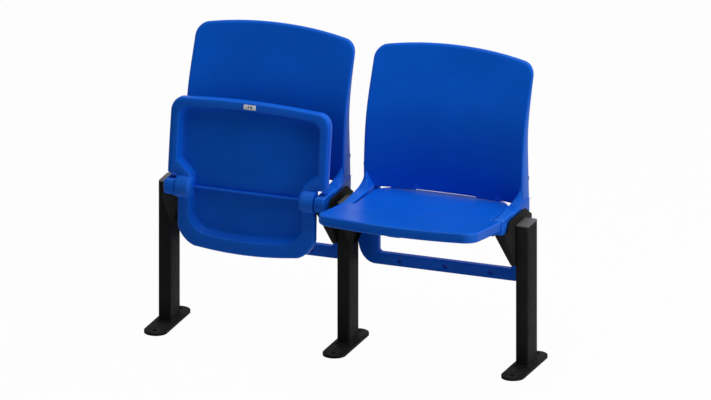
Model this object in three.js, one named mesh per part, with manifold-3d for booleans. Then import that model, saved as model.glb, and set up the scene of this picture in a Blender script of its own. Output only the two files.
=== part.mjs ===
// A two-seat row of tip-up stadium chairs on three floor-mounted posts.
// Units are millimetres. +X runs along the row to a viewer's right, +Y to the back, +Z up.
// The origin is on the floor, under the middle of the middle foot plate.
// The left pan is modelled raised and the right pan lowered.
import * as THREE from 'three';
import { mergeVertices } from 'three/addons/utils/BufferGeometryUtils.js';
import Module from 'manifold-3d';

const wasm = await Module();
wasm.setup();

// The row
const SEAT_NAMES = ['left', 'right'];
const POST_NAMES = ['left', 'middle', 'right'];
const RAISED_SEATS = ['left'];
const SEAT_PITCH = 500;

// Fits
const FIT = 0.3;
const HINGE_SIDE_GAP = 2;
const CUT = 5;

// Foot plates
const FOOT_LENGTH = 230;
const FOOT_WIDTH = 63;
const FOOT_THICKNESS = 8;
const ANCHOR_HOLE_RADIUS = 6.5;
const ANCHOR_INSET = 22;

// Posts and their caps
const POST_TOP = 395;
const POST_WIDTH = 35;
const POST_DEPTH = 70;
const POST_WALL = 2.5;
const POST_CORNER = 4;
const POST_SETBACK = 15.5;
const CAP_THICKNESS = 3;
const CAP_PLUG_LENGTH = 12;

// Hinge
const HINGE_RISE = 18;
const HINGE_FORWARD = 85;
const PIN_RADIUS = 6;
const PIN_HEAD_RADIUS = 9;
const PIN_HEAD_THICKNESS = 3;
const BUSH_WALL = 2.2;
const BUSH_FLANGE_RADIUS = 12;
const LOWERED_SLOPE = 5.8;
const TIP_TRAVEL = 90;

// Side brackets, pressed from sheet with a lip all round
const BRACKET_DROP = 1;
const BRACKET_WIDTH = 27.5;
const BRACKET_SHEET = 2.5;
const BRACKET_NOSE = 20.5;
const BRACKET_LENGTH = 194;
const BRACKET_FRONT_LIP = 7;
const BRACKET_REAR_LIP = 26;
const BRACKET_HEIGHT = 102;
const BRACKET_FOOT_FRONT = 90;
const BRACKET_FOOT_LENGTH = 12;
const BRACKET_BEND = 5;
const UPSTAND_HEIGHT = 27;
const UPSTAND_SETBACK = 12;
const UPSTAND_FRONT_RUN = 20;
const UPSTAND_REAR_RUN = 40;
const UPSTAND_BEND = 8;

// Bolts between bracket and arm
const BOLT_RADIUS = 3;
const BOLT_HEAD_RADIUS = 5.8;
const BOLT_HEAD_HEIGHT = 4;
const BOLT_GRIP = 20;
const BOLT_WEB_GAP = 0.7;
const BOLT_BACKSETS = [45, 105];

// Arms of the back moulding
const ARM_POST_GAP = 7.5;
const ARM_WIDTH = 30;
const ARM_BOSS_RADIUS = 29;
const ARM_TOP_RISE = 19;
const ARM_ROUND = 8;
const ARM_FLARE_HEIGHT = 62;
const ARM_FLARE_START = 66;

// Back panel
const BACK_SIDE_STEP = 5;
const BACK_SLIT_RISE = 15;
const BACK_HEIGHT = 382;
const BACK_SETBACK = 126.5;
const BACK_RAKE = 106;
const BACK_SKIN = 4.5;
const BACK_WALL = 4;
const BACK_WALL_DEPTH = 50;
const BACK_CORNER = 34;
const BACK_CROWN = 17;
const BACK_WRAP_POWER = 2.6;
// Shares of the panel's height, and of its rake, down the middle and along the sides
const BACK_MIDDLE_SHARES = [[0, 0.236], [0.18, 0.217], [0.52, 0.358], [0.85, 0.802], [1, 1]];
const BACK_SIDE_SHARES = [[0, 0.009], [0.18, 0], [0.52, 0.17], [0.85, 0.67], [1, 0.925]];
// Shares of the panel's height, and of the depth of its side walls
const BACK_WALL_SHARES = [[0, 1], [0.18, 0.94], [0.52, 0.54], [0.85, 0.21], [1, 0.18]];

// Stop tabs under the back panel, which the lowered pan rests against
const TAB_WIDTH = 67;
const TAB_OFFSET = 118;

// Lower frame of the back moulding
const FRAME_FRONT = 141.5;
const FRAME_DEPTH = 19;
const FRAME_WALL = 4;
const FRAME_NEIGHBOUR_GAP = 14;
const FRAME_INNER_STEP = 9;
const FRAME_OVERLAP = 8;
const RAIL_DROP = 201;
const RAIL_HEIGHT = 30;
const RAIL_FILLET = 8;
const FRAME_CORNER_WIDTH = 48;
const FRAME_CORNER_HEIGHT = 64;
const NOTCH_CLEARANCE = 3;
const NOTCH_ROUND = 6;
const SCREW_OFFSETS = [-128, 0, 128];
const SCREW_RADIUS = 3.2;
const SCREW_RECESS_RADIUS = 6.5;
const SCREW_RECESS_DEPTH = 5;
const SCREW_BOSS_WALL = 3.5;

// Seat pan
const PAN_FRONT = 243.5;
const PAN_REAR = 165;
const PAN_SHOULDER = 31.5;
const PAN_SIDE_GAP = 5;
const PAN_ARM_GAP = 4;
const PAN_TOP = 19.3;
const PAN_RISE = 11.5;
const PAN_LOW_POINT = 25;
const PAN_DISH = 5.5;
const PAN_SKIN = 5;
const PAN_EDGE = 2.5;
const RIM_DEPTH = 26;
const RIM_WIDTH = 31;
const RIM_FRONT_WIDTH = 28;
const RIM_REAR_WIDTH = 47;
const RIM_BEVEL_SHARE = 0.3;
const RIM_INNER_BEVEL = 5;
const RIM_BEVEL_DROP = 10;
const RIM_JOG_START = 33;
const RIM_JOG_END = 72;
const PAN_FRONT_CORNER = 42;
const PAN_FRONT_BOW = 8;
const PAN_REAR_CORNER = 55;
const PAN_REAR_BOW = 9;
const SHOULDER_FILLET = 6;
const BOSS_WIDTH = 33;
const BOSS_RADIUS = 31;
const BOSS_END_WALL = 4;
const RIB_THICKNESS = 5;
const RIB_DEPTH = 8;

// Number plate and its rivets
const PLATE_LENGTH = 34;
const PLATE_WIDTH = 13;
const PLATE_THICKNESS = 1.2;
const PLATE_CORNER = 2;
const RIVET_RADIUS = 1.2;
const RIVET_HEAD_RADIUS = 2.2;
const RIVET_HEAD_HEIGHT = 0.8;
const RIVET_GRIP = 4;
const RIVET_INSET = 4;

// Smoothness of round shapes
const ROUND_STEPS = 18;
const CURVE_STEPS = 4;
const BOSS_STEPS = 12;
const BOSS_CURVE_STEPS = 9;
const CROWN_STEPS = 6;
const SMALL_STEPS = 10;
const HEXAGON = 6;
const CORNER_STEPS = 2;
const STATION_GAP = 0.006;

// Places worked out from the sizes above
const POST_SIDE = SEAT_PITCH / 2 - POST_WIDTH / 2;
const BRACKET_TOP = POST_TOP - BRACKET_DROP;
const HINGE_Z = BRACKET_TOP + HINGE_RISE;
const HINGE_Y = POST_SETBACK - HINGE_FORWARD;
const BRACKET_INNER = POST_SIDE - BRACKET_WIDTH;
const ARM_OUTER = POST_SIDE - ARM_POST_GAP;
const ARM_INNER = ARM_OUTER - ARM_WIDTH;
const BACK_HALF = ARM_OUTER - BACK_SIDE_STEP;
const BACK_BOTTOM = HINGE_Z + BACK_SLIT_RISE;
const BACK_TOP = BACK_BOTTOM + BACK_HEIGHT;
const FRAME_Y = HINGE_Y + FRAME_FRONT;
const FRAME_INNER = ARM_INNER - FRAME_INNER_STEP;
const RAIL_BOTTOM = HINGE_Z - RAIL_DROP;
const BOSS_OUTER = ARM_INNER - HINGE_SIDE_GAP;
const BOSS_INNER = BOSS_OUTER - BOSS_WIDTH;
const PAN_REAR_HALF = ARM_INNER - PAN_ARM_GAP;
const PAN_FRONT_HALF = ARM_OUTER - PAN_SIDE_GAP;
const BUSH_RADIUS = PIN_RADIUS + FIT + BUSH_WALL;
const BOLT_X = BRACKET_INNER + BRACKET_SHEET + BOLT_WEB_GAP + BOLT_HEAD_RADIUS;

// Finishes
const bluePlastic = new THREE.MeshStandardMaterial({ color: 0x0b5ad8, roughness: 0.42, metalness: 0 });
const blackPaint = new THREE.MeshStandardMaterial({ color: 0x1c1c1b, roughness: 0.5, metalness: 0.2 });
const blackPlastic = new THREE.MeshStandardMaterial({ color: 0x2a2a29, roughness: 0.6, metalness: 0 });
const zincSteel = new THREE.MeshStandardMaterial({ color: 0xa9adb1, roughness: 0.35, metalness: 0.9 });
const whitePlastic = new THREE.MeshStandardMaterial({ color: 0xe9edf2, roughness: 0.5, metalness: 0 });

// Geometry to solid and back

function solidOf(geometry) {
  const bare = geometry.clone();
  bare.deleteAttribute('normal');
  bare.deleteAttribute('uv');
  const merged = mergeVertices(bare, 1e-4);
  return new wasm.Manifold(new wasm.Mesh({
    numProp: 3,
    vertProperties: merged.attributes.position.array,
    triVerts: new Uint32Array(merged.index.array),
  }));
}

function geometryOf(solid) {
  const mesh = solid.getMesh();
  const geometry = new THREE.BufferGeometry();
  geometry.setAttribute('position', new THREE.BufferAttribute(new Float32Array(mesh.vertProperties), 3));
  geometry.setIndex(new THREE.BufferAttribute(new Uint32Array(mesh.triVerts), 1));
  geometry.computeVertexNormals();
  return geometry;
}

function fuse(solids) {
  return solids.reduce((sum, solid) => sum.add(solid));
}

function cut(solid, tools) {
  return tools.reduce((left, tool) => left.subtract(tool), solid);
}

// Prisms along each axis, from an outline in the other two

function extrude(shape, depth, steps = CURVE_STEPS) {
  return new THREE.ExtrudeGeometry(shape, { depth, bevelEnabled: false, curveSegments: steps });
}

function prismX(outline, from, to) {
  const turn = new THREE.Matrix4().makeBasis(
    new THREE.Vector3(0, 1, 0), new THREE.Vector3(0, 0, 1), new THREE.Vector3(1, 0, 0));
  return solidOf(extrude(outline, to - from).applyMatrix4(turn).translate(from, 0, 0));
}

function prismY(outline, from, to, steps = CURVE_STEPS) {
  const turn = new THREE.Matrix4().makeBasis(
    new THREE.Vector3(1, 0, 0), new THREE.Vector3(0, 0, 1), new THREE.Vector3(0, -1, 0));
  return solidOf(extrude(outline, to - from, steps).applyMatrix4(turn).translate(0, to, 0));
}

function prismZ(outline, from, to, steps = CORNER_STEPS) {
  return solidOf(extrude(outline, to - from, steps).translate(0, 0, from));
}

// A prism along X on one side of a seat: from and to are distances from the seat's middle.
function sidePrism(outline, side, from, to) {
  return side > 0 ? prismX(outline, from, to) : prismX(outline, -to, -from);
}

function rod(radius, from, to, y, z, steps = ROUND_STEPS) {
  const geometry = new THREE.CylinderGeometry(radius, radius, Math.abs(to - from), steps);
  return solidOf(geometry.rotateZ(Math.PI / 2).translate((from + to) / 2, y, z));
}

function upright(radius, from, to, x, y, steps = SMALL_STEPS) {
  const geometry = new THREE.CylinderGeometry(radius, radius, to - from, steps);
  return solidOf(geometry.rotateX(Math.PI / 2).translate(x, y, (from + to) / 2));
}

function block(x0, x1, y0, y1, z0, z1) {
  const geometry = new THREE.BoxGeometry(x1 - x0, y1 - y0, z1 - z0);
  return solidOf(geometry.translate((x0 + x1) / 2, (y0 + y1) / 2, (z0 + z1) / 2));
}

// Outlines

function roundedRectangle(width, depth, radius) {
  const x = width / 2;
  const y = depth / 2;
  const quarter = Math.PI / 2;
  const shape = new THREE.Shape();
  shape.moveTo(x, radius - y);
  shape.lineTo(x, y - radius);
  shape.absarc(x - radius, y - radius, radius, 0, quarter);
  shape.absarc(radius - x, y - radius, radius, quarter, 2 * quarter);
  shape.absarc(radius - x, radius - y, radius, 2 * quarter, 3 * quarter);
  shape.absarc(x - radius, radius - y, radius, 3 * quarter, 4 * quarter);
  return shape;
}

// A closed outline whose corners are rounded, each with its own radius.
function roundedOutline(corners) {
  const shape = new THREE.Shape();
  const count = corners.length;
  corners.forEach(([x, y, radius], i) => {
    const corner = new THREE.Vector2(x, y);
    const before = new THREE.Vector2(...corners[(i + count - 1) % count]).sub(corner);
    const after = new THREE.Vector2(...corners[(i + 1) % count]).sub(corner);
    const half = before.angleTo(after) / 2;
    const reach = Math.min(radius / Math.tan(half), before.length() / 2, after.length() / 2);
    const start = before.setLength(reach).add(corner);
    const end = after.setLength(reach).add(corner);
    if (i === 0) shape.moveTo(start.x, start.y);
    else shape.lineTo(start.x, start.y);
    if (radius > 0) shape.quadraticCurveTo(x, y, end.x, end.y);
  });
  shape.closePath();
  return shape;
}

// The same corners moved inwards, for an outline that runs anticlockwise.
function insetCorners(corners, distance) {
  const count = corners.length;
  return corners.map(([x, y, radius], i) => {
    const [px, py] = corners[(i + count - 1) % count];
    const [nx, ny] = corners[(i + 1) % count];
    const a = new THREE.Vector2(x - px, y - py).normalize();
    const b = new THREE.Vector2(nx - x, ny - y).normalize();
    const spread = 1 + a.dot(b);
    return [
      x - distance * (a.y + b.y) / spread,
      y + distance * (a.x + b.x) / spread,
      Math.max(radius - distance, 0),
    ];
  });
}

function smoothTable(shares) {
  const curve = new THREE.CubicInterpolant(shares.map((pair) => pair[0]), shares.map((pair) => pair[1]), 1);
  return (at) => curve.evaluate(at)[0];
}

// Posts, foot plates and caps

function makeFootPlate() {
  const shape = roundedRectangle(FOOT_WIDTH, FOOT_LENGTH, FOOT_WIDTH / 2);
  const hole = FOOT_LENGTH / 2 - ANCHOR_INSET;
  const plate = prismZ(shape, 0, FOOT_THICKNESS, CURVE_STEPS);
  return cut(plate, [-hole, hole].map(
    (y) => upright(ANCHOR_HOLE_RADIUS, -CUT, FOOT_THICKNESS + CUT, 0, y)));
}

function tubeOutline(inset) {
  return roundedRectangle(
    POST_WIDTH - 2 * inset, POST_DEPTH - 2 * inset, Math.max(POST_CORNER - inset, FIT));
}

function makePost() {
  const foot = FOOT_THICKNESS + FIT;
  const tube = prismZ(tubeOutline(0), foot, POST_TOP);
  const bore = prismZ(tubeOutline(POST_WALL), foot - CUT, POST_TOP + CUT);
  return tube.subtract(bore).translate(0, POST_SETBACK, 0);
}

function makePostCap() {
  const seat = POST_TOP + FIT;
  const lid = prismZ(tubeOutline(0), seat, seat + CAP_THICKNESS);
  const plug = prismZ(tubeOutline(POST_WALL + FIT), POST_TOP - CAP_PLUG_LENGTH, seat + CAP_THICKNESS / 2);
  const hollow = prismZ(tubeOutline(2 * POST_WALL + FIT), POST_TOP - CAP_PLUG_LENGTH - CUT, POST_TOP);
  return lid.add(plug).subtract(hollow).translate(0, POST_SETBACK, 0);
}

// Side brackets: a shallow tray, open towards the post, with an upright edge beside the arm

function bracketCorners() {
  const front = HINGE_Y - BRACKET_NOSE;
  const rear = front + BRACKET_LENGTH;
  const foot = front + BRACKET_FOOT_FRONT;
  const bottom = BRACKET_TOP - BRACKET_HEIGHT;
  return [
    [front, BRACKET_TOP - BRACKET_FRONT_LIP, 0],
    [foot, bottom, BRACKET_BEND],
    [foot + BRACKET_FOOT_LENGTH, bottom, BRACKET_BEND],
    [rear, BRACKET_TOP - BRACKET_REAR_LIP, BRACKET_BEND],
    [rear, BRACKET_TOP, BRACKET_BEND],
    [front, BRACKET_TOP, 0],
  ];
}

function upstandCorners() {
  const front = HINGE_Y - BRACKET_NOSE + UPSTAND_SETBACK;
  const rear = HINGE_Y - BRACKET_NOSE + BRACKET_LENGTH - BRACKET_BEND;
  const bottom = BRACKET_TOP - BRACKET_SHEET / 2;
  const top = BRACKET_TOP + UPSTAND_HEIGHT;
  return [
    [front, bottom, 0],
    [rear, bottom, 0],
    [rear - UPSTAND_REAR_RUN, top, UPSTAND_BEND],
    [front + UPSTAND_FRONT_RUN, top, UPSTAND_BEND],
  ];
}

function boltPlaces() {
  return BOLT_BACKSETS.map((backset) => HINGE_Y + backset);
}

function makeBracket(side) {
  const outer = POST_SIDE - FIT;
  const tray = sidePrism(roundedOutline(bracketCorners()), side, BRACKET_INNER, outer);
  const inside = roundedOutline(insetCorners(bracketCorners(), BRACKET_SHEET));
  const hollow = sidePrism(inside, side, BRACKET_INNER + BRACKET_SHEET, outer + CUT);
  const upstand = sidePrism(roundedOutline(upstandCorners()), side, outer - BRACKET_SHEET, outer);
  const holes = boltPlaces().map((y) => upright(
    BOLT_RADIUS + FIT, BRACKET_TOP - BRACKET_SHEET - CUT, BRACKET_TOP + CUT, side * BOLT_X, y));
  return cut(fuse([tray, upstand]), [hollow, ...holes]);
}

function makeBolt(side, y) {
  const seat = BRACKET_TOP - BRACKET_SHEET - FIT;
  const head = upright(BOLT_HEAD_RADIUS, seat - BOLT_HEAD_HEIGHT, seat, side * BOLT_X, y, HEXAGON);
  const shank = upright(BOLT_RADIUS, seat - BOLT_HEAD_HEIGHT / 2, seat + BOLT_GRIP, side * BOLT_X, y);
  return head.add(shank);
}

// Hinge pins and bushes

function makeHingePin(side) {
  const inner = BOSS_INNER + BOSS_END_WALL + FIT;
  const face = ARM_OUTER - FIT;
  const shank = rod(PIN_RADIUS, side * inner, side * (face - PIN_HEAD_THICKNESS / 2), HINGE_Y, HINGE_Z);
  const head = rod(PIN_HEAD_RADIUS, side * (face - PIN_HEAD_THICKNESS), side * face, HINGE_Y, HINGE_Z);
  return shank.add(head);
}

// The bush is in the pan's own frame: its hinge axis is the X axis.
function makeHingeBush(side) {
  const inner = BOSS_INNER + BOSS_END_WALL + FIT;
  const flangeIn = BOSS_OUTER + FIT;
  const flangeOut = ARM_INNER - FIT;
  const sleeve = rod(BUSH_RADIUS, side * inner, side * flangeOut, 0, 0);
  const flange = rod(BUSH_FLANGE_RADIUS, side * flangeIn, side * flangeOut, 0, 0);
  const bore = rod(PIN_RADIUS + FIT, side * (inner - CUT), side * (flangeOut + CUT), 0, 0);
  return sleeve.add(flange).subtract(bore);
}

// Back moulding: panel with side walls, arms, stop tabs and lower frame in one piece

const middleLine = smoothTable(BACK_MIDDLE_SHARES);
const sideLine = smoothTable(BACK_SIDE_SHARES);
const wallLine = smoothTable(BACK_WALL_SHARES);

function backFront(x, z) {
  const share = (z - BACK_BOTTOM) / BACK_HEIGHT;
  const wrap = Math.pow(Math.min(Math.abs(x) / BACK_HALF, 1), BACK_WRAP_POWER);
  const rake = THREE.MathUtils.lerp(middleLine(share), sideLine(share), wrap);
  return HINGE_Y + BACK_SETBACK + BACK_RAKE * rake;
}

function backWallDepth(z) {
  return BACK_WALL_DEPTH * wallLine((z - BACK_BOTTOM) / BACK_HEIGHT);
}

// A slab between two surfaces that are given as depths over the front view.
function curvedSlab(front, rear) {
  const columns = 12;
  const rows = 10;
  const bottom = BACK_BOTTOM - BACK_SLIT_RISE;
  const height = BACK_TOP + CUT - bottom;
  const geometry = new THREE.BoxGeometry(2 * (BACK_HALF + CUT), 2, height, columns, 1, rows);
  geometry.translate(0, 0, bottom + height / 2);
  const place = geometry.attributes.position;
  for (let i = 0; i < place.count; i += 1) {
    const surface = place.getY(i) < 0 ? front : rear;
    place.setY(i, surface(place.getX(i), place.getZ(i)));
  }
  return solidOf(geometry);
}

// Each tab ends just above the lowered pan.
function tabBottom() {
  const ends = [TAB_OFFSET - TAB_WIDTH / 2, TAB_OFFSET + TAB_WIDTH / 2];
  const heights = ends.flatMap((x) => [0, BACK_SKIN].map(
    (depth) => loweredPanHeight(x, backFront(x, BACK_BOTTOM) + depth)));
  return Math.max(...heights) + FIT;
}

// Front view of the panel, with a crowned top edge, and a bottom edge given as points from left to right.
function backOutline(inset, bottomEdge) {
  const half = BACK_HALF - inset;
  const corner = BACK_CORNER - inset;
  const shoulder = BACK_TOP - BACK_CROWN - inset;
  const slope = 2 * BACK_CROWN / (half - corner);
  const shape = new THREE.Shape();
  bottomEdge.forEach(([x, z], i) => (i === 0 ? shape.moveTo(x, z) : shape.lineTo(x, z)));
  shape.lineTo(half, shoulder - corner);
  shape.quadraticCurveTo(half, shoulder - slope * corner, half - corner, shoulder);
  shape.quadraticCurveTo(0, shoulder + 2 * BACK_CROWN, corner - half, shoulder);
  shape.quadraticCurveTo(-half, shoulder - slope * corner, -half, shoulder - corner);
  shape.closePath();
  return shape;
}

function panelBottomEdge() {
  const inner = TAB_OFFSET - TAB_WIDTH / 2;
  const outer = TAB_OFFSET + TAB_WIDTH / 2;
  const low = tabBottom();
  const right = [
    [inner, BACK_BOTTOM], [inner, low], [outer, low], [outer, BACK_BOTTOM], [BACK_HALF, BACK_BOTTOM],
  ];
  const left = right.map(([x, z]) => [-x, z]).reverse();
  return [...left, ...right];
}

function makeBackPanel() {
  const skinRear = (x, z) => backFront(x, z) + BACK_SKIN;
  const wallRear = (x, z) => backFront(x, z) + backWallDepth(z);
  const beyond = (x, z) => wallRear(x, z) + CUT;
  const near = HINGE_Y;
  const far = HINGE_Y + BACK_SETBACK + BACK_RAKE + BACK_WALL_DEPTH;
  const low = BACK_BOTTOM - BACK_SLIT_RISE;
  const inside = BACK_HALF - BACK_WALL;
  const outline = prismY(backOutline(0, panelBottomEdge()), near, far, CROWN_STEPS);
  const innerEdge = [[-inside, low], [inside, low]];
  const inner = prismY(backOutline(BACK_WALL, innerEdge), near - CUT, far + CUT, CROWN_STEPS);
  const panel = curvedSlab(backFront, wallRear).intersect(outline);
  const pocket = curvedSlab(skinRear, beyond).intersect(inner);
  return panel.subtract(pocket);
}

// Side view of an arm: a round boss, a level top and a sweep up to the side wall.
function armProfile() {
  const bottom = BRACKET_TOP + FIT;
  const top = HINGE_Z + ARM_TOP_RISE;
  const front = Math.PI - Math.asin(THREE.MathUtils.clamp(ARM_TOP_RISE / ARM_BOSS_RADIUS, 0, 1));
  const under = -Math.asin(THREE.MathUtils.clamp((HINGE_Z - bottom) / ARM_BOSS_RADIUS, 0, 1));
  const wallFront = backFront(BACK_HALF, BACK_BOTTOM);
  const wallRear = wallFront + BACK_WALL_DEPTH;
  const flareTop = top + ARM_FLARE_HEIGHT;
  const shape = new THREE.Shape();
  shape.moveTo(HINGE_Y + ARM_BOSS_RADIUS * Math.cos(under), bottom);
  shape.lineTo(wallRear, bottom);
  shape.lineTo(wallRear, flareTop);
  shape.lineTo(wallFront, flareTop);
  shape.quadraticCurveTo(wallFront, top, wallFront - ARM_FLARE_START, top);
  shape.lineTo(HINGE_Y + ARM_BOSS_RADIUS * Math.cos(front), top);
  const turn = 2 * Math.PI + under - front;
  for (let i = 1; i < BOSS_STEPS; i += 1) {
    const angle = front + turn * i / BOSS_STEPS;
    shape.lineTo(HINGE_Y + ARM_BOSS_RADIUS * Math.cos(angle), HINGE_Z + ARM_BOSS_RADIUS * Math.sin(angle));
  }
  shape.closePath();
  return shape;
}

// Front view of an arm: rounded below, and drawn in to the side wall's thickness as it rises.
function armFrontView(side) {
  const bottom = HINGE_Z - ARM_BOSS_RADIUS - CUT;
  const seat = BRACKET_TOP + FIT;
  const top = HINGE_Z + ARM_TOP_RISE;
  const flareTop = top + ARM_FLARE_HEIGHT + CUT;
  const shape = new THREE.Shape();
  shape.moveTo(side * ARM_INNER, bottom);
  shape.lineTo(side * (BRACKET_INNER - FIT), bottom);
  shape.lineTo(side * (BRACKET_INNER - FIT), seat);
  shape.lineTo(side * (ARM_OUTER - ARM_ROUND), seat);
  shape.quadraticCurveTo(side * ARM_OUTER, seat, side * ARM_OUTER, seat + ARM_ROUND);
  shape.lineTo(side * ARM_OUTER, top);
  shape.quadraticCurveTo(side * BACK_HALF, top, side * BACK_HALF, top + ARM_FLARE_HEIGHT / 2);
  shape.lineTo(side * BACK_HALF, flareTop);
  shape.lineTo(side * (BACK_HALF - BACK_WALL), flareTop);
  shape.quadraticCurveTo(side * (BACK_HALF - BACK_WALL), top + ARM_FLARE_HEIGHT / 3, side * ARM_INNER, top);
  shape.closePath();
  return shape;
}

function makeArm(side) {
  const far = backFront(BACK_HALF, BACK_BOTTOM) + BACK_WALL_DEPTH;
  const near = HINGE_Y - ARM_BOSS_RADIUS;
  const sideView = sidePrism(armProfile(), side, ARM_INNER, ARM_OUTER);
  const arm = sideView.intersect(prismY(armFrontView(side), near - CUT, far + CUT));
  const face = ARM_OUTER - FIT - PIN_HEAD_THICKNESS - FIT;
  const pinBore = rod(PIN_RADIUS + FIT, side * (ARM_INNER - CUT), side * (face + CUT), HINGE_Y, HINGE_Z);
  const headBore = rod(PIN_HEAD_RADIUS + FIT, side * face, side * (ARM_OUTER + CUT), HINGE_Y, HINGE_Z);
  const boltTop = BRACKET_TOP - BRACKET_SHEET + BOLT_GRIP;
  const boltBores = boltPlaces().map(
    (y) => upright(BOLT_RADIUS + FIT, BRACKET_TOP - CUT, boltTop, side * BOLT_X, y));
  return cut(arm, [pinBore, headBore, ...boltBores]);
}

function frameHalf() {
  return (SEAT_PITCH - FRAME_NEIGHBOUR_GAP) / 2;
}

// The height at which the side members step in to pass the brackets.
function notchHeight() {
  const rearSlope = (BRACKET_HEIGHT - BRACKET_REAR_LIP)
    / (BRACKET_LENGTH - BRACKET_FOOT_FRONT - BRACKET_FOOT_LENGTH);
  const footRear = HINGE_Y - BRACKET_NOSE + BRACKET_FOOT_FRONT + BRACKET_FOOT_LENGTH;
  const along = Math.max(FRAME_Y - footRear, 0);
  return BRACKET_TOP - BRACKET_HEIGHT + along * rearSlope - NOTCH_CLEARANCE;
}

// Front view of the lower frame: two side members and the bottom rail, as one U.
function frameOutline(inset) {
  const half = frameHalf() - inset;
  const inner = FRAME_INNER + inset;
  const neck = BRACKET_INNER - FIT - inset;
  const bottom = RAIL_BOTTOM + inset;
  const railTop = RAIL_BOTTOM + RAIL_HEIGHT - inset;
  const notch = notchHeight() - inset;
  const top = inset > 0 ? BRACKET_TOP - inset : BACK_BOTTOM + FRAME_OVERLAP;
  const cornerX = half - FRAME_CORNER_WIDTH + inset;
  const cornerZ = bottom + FRAME_CORNER_HEIGHT - inset;
  const fillet = RAIL_FILLET + inset;
  const easeX = FRAME_CORNER_WIDTH / 2;
  const easeZ = FRAME_CORNER_HEIGHT / 2;
  const round = NOTCH_ROUND;
  const shape = new THREE.Shape();
  shape.moveTo(-cornerX, bottom);
  shape.lineTo(cornerX, bottom);
  shape.bezierCurveTo(cornerX + easeX, bottom, half, cornerZ - easeZ, half, cornerZ);
  shape.lineTo(half, notch - round);
  shape.quadraticCurveTo(half, notch, half - round, notch);
  shape.lineTo(neck, notch);
  shape.lineTo(neck, top);
  shape.lineTo(inner, top);
  shape.lineTo(inner, railTop + fillet);
  shape.quadraticCurveTo(inner, railTop, inner - fillet, railTop);
  shape.lineTo(fillet - inner, railTop);
  shape.quadraticCurveTo(-inner, railTop, -inner, railTop + fillet);
  shape.lineTo(-inner, top);
  shape.lineTo(-neck, top);
  shape.lineTo(-neck, notch);
  shape.lineTo(round - half, notch);
  shape.quadraticCurveTo(-half, notch, -half, notch - round);
  shape.lineTo(-half, cornerZ);
  shape.bezierCurveTo(-half, cornerZ - easeZ, -cornerX - easeX, bottom, -cornerX, bottom);
  shape.closePath();
  return shape;
}

function depthRod(radius, from, to, x, z) {
  const geometry = new THREE.CylinderGeometry(radius, radius, to - from, SMALL_STEPS);
  return solidOf(geometry.translate(x, (from + to) / 2, z));
}

function makeLowerFrame() {
  const rear = FRAME_Y + FRAME_DEPTH;
  const screwZ = RAIL_BOTTOM + RAIL_HEIGHT / 2;
  const body = prismY(frameOutline(0), FRAME_Y, rear);
  const hollow = prismY(frameOutline(FRAME_WALL), FRAME_Y + FRAME_WALL, rear + CUT);
  const bosses = SCREW_OFFSETS.map((x) => depthRod(
    SCREW_RECESS_RADIUS + SCREW_BOSS_WALL, FRAME_Y + FRAME_WALL / 2, rear, x, screwZ));
  const recesses = SCREW_OFFSETS.map((x) => depthRod(
    SCREW_RECESS_RADIUS, FRAME_Y - CUT, FRAME_Y + SCREW_RECESS_DEPTH, x, screwZ));
  const bores = SCREW_OFFSETS.map((x) => depthRod(
    SCREW_RADIUS, FRAME_Y - CUT, rear + CUT, x, screwZ));
  return cut(fuse([body.subtract(hollow), ...bosses]), [...recesses, ...bores]);
}

function makeBackMoulding() {
  const sides = [-1, 1];
  return fuse([
    makeBackPanel(),
    makeLowerFrame(),
    ...sides.map(makeArm),
  ]);
}

// Seat pan, in its own frame: the hinge is the X axis, the front points to -Y, the top to +Z

function panTop(x, forward) {
  const reach = forward > PAN_LOW_POINT ? PAN_FRONT - PAN_LOW_POINT : PAN_REAR + PAN_LOW_POINT;
  const along = Math.min(Math.abs(forward - PAN_LOW_POINT) / reach, 1);
  const across = Math.min(Math.abs(x) / PAN_FRONT_HALF, 1);
  return PAN_TOP + PAN_RISE * Math.pow(along, 1.6) - PAN_DISH * (1 - across * across);
}

// Height of the lowered pan's top over the floor, at a place in the seat's frame.
function loweredPanHeight(x, y) {
  const slope = THREE.MathUtils.degToRad(LOWERED_SLOPE);
  const rearward = y - HINGE_Y;
  const forward = -rearward / Math.cos(slope);
  return HINGE_Z - rearward * Math.tan(slope) + panTop(x, forward) / Math.cos(slope);
}

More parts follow.
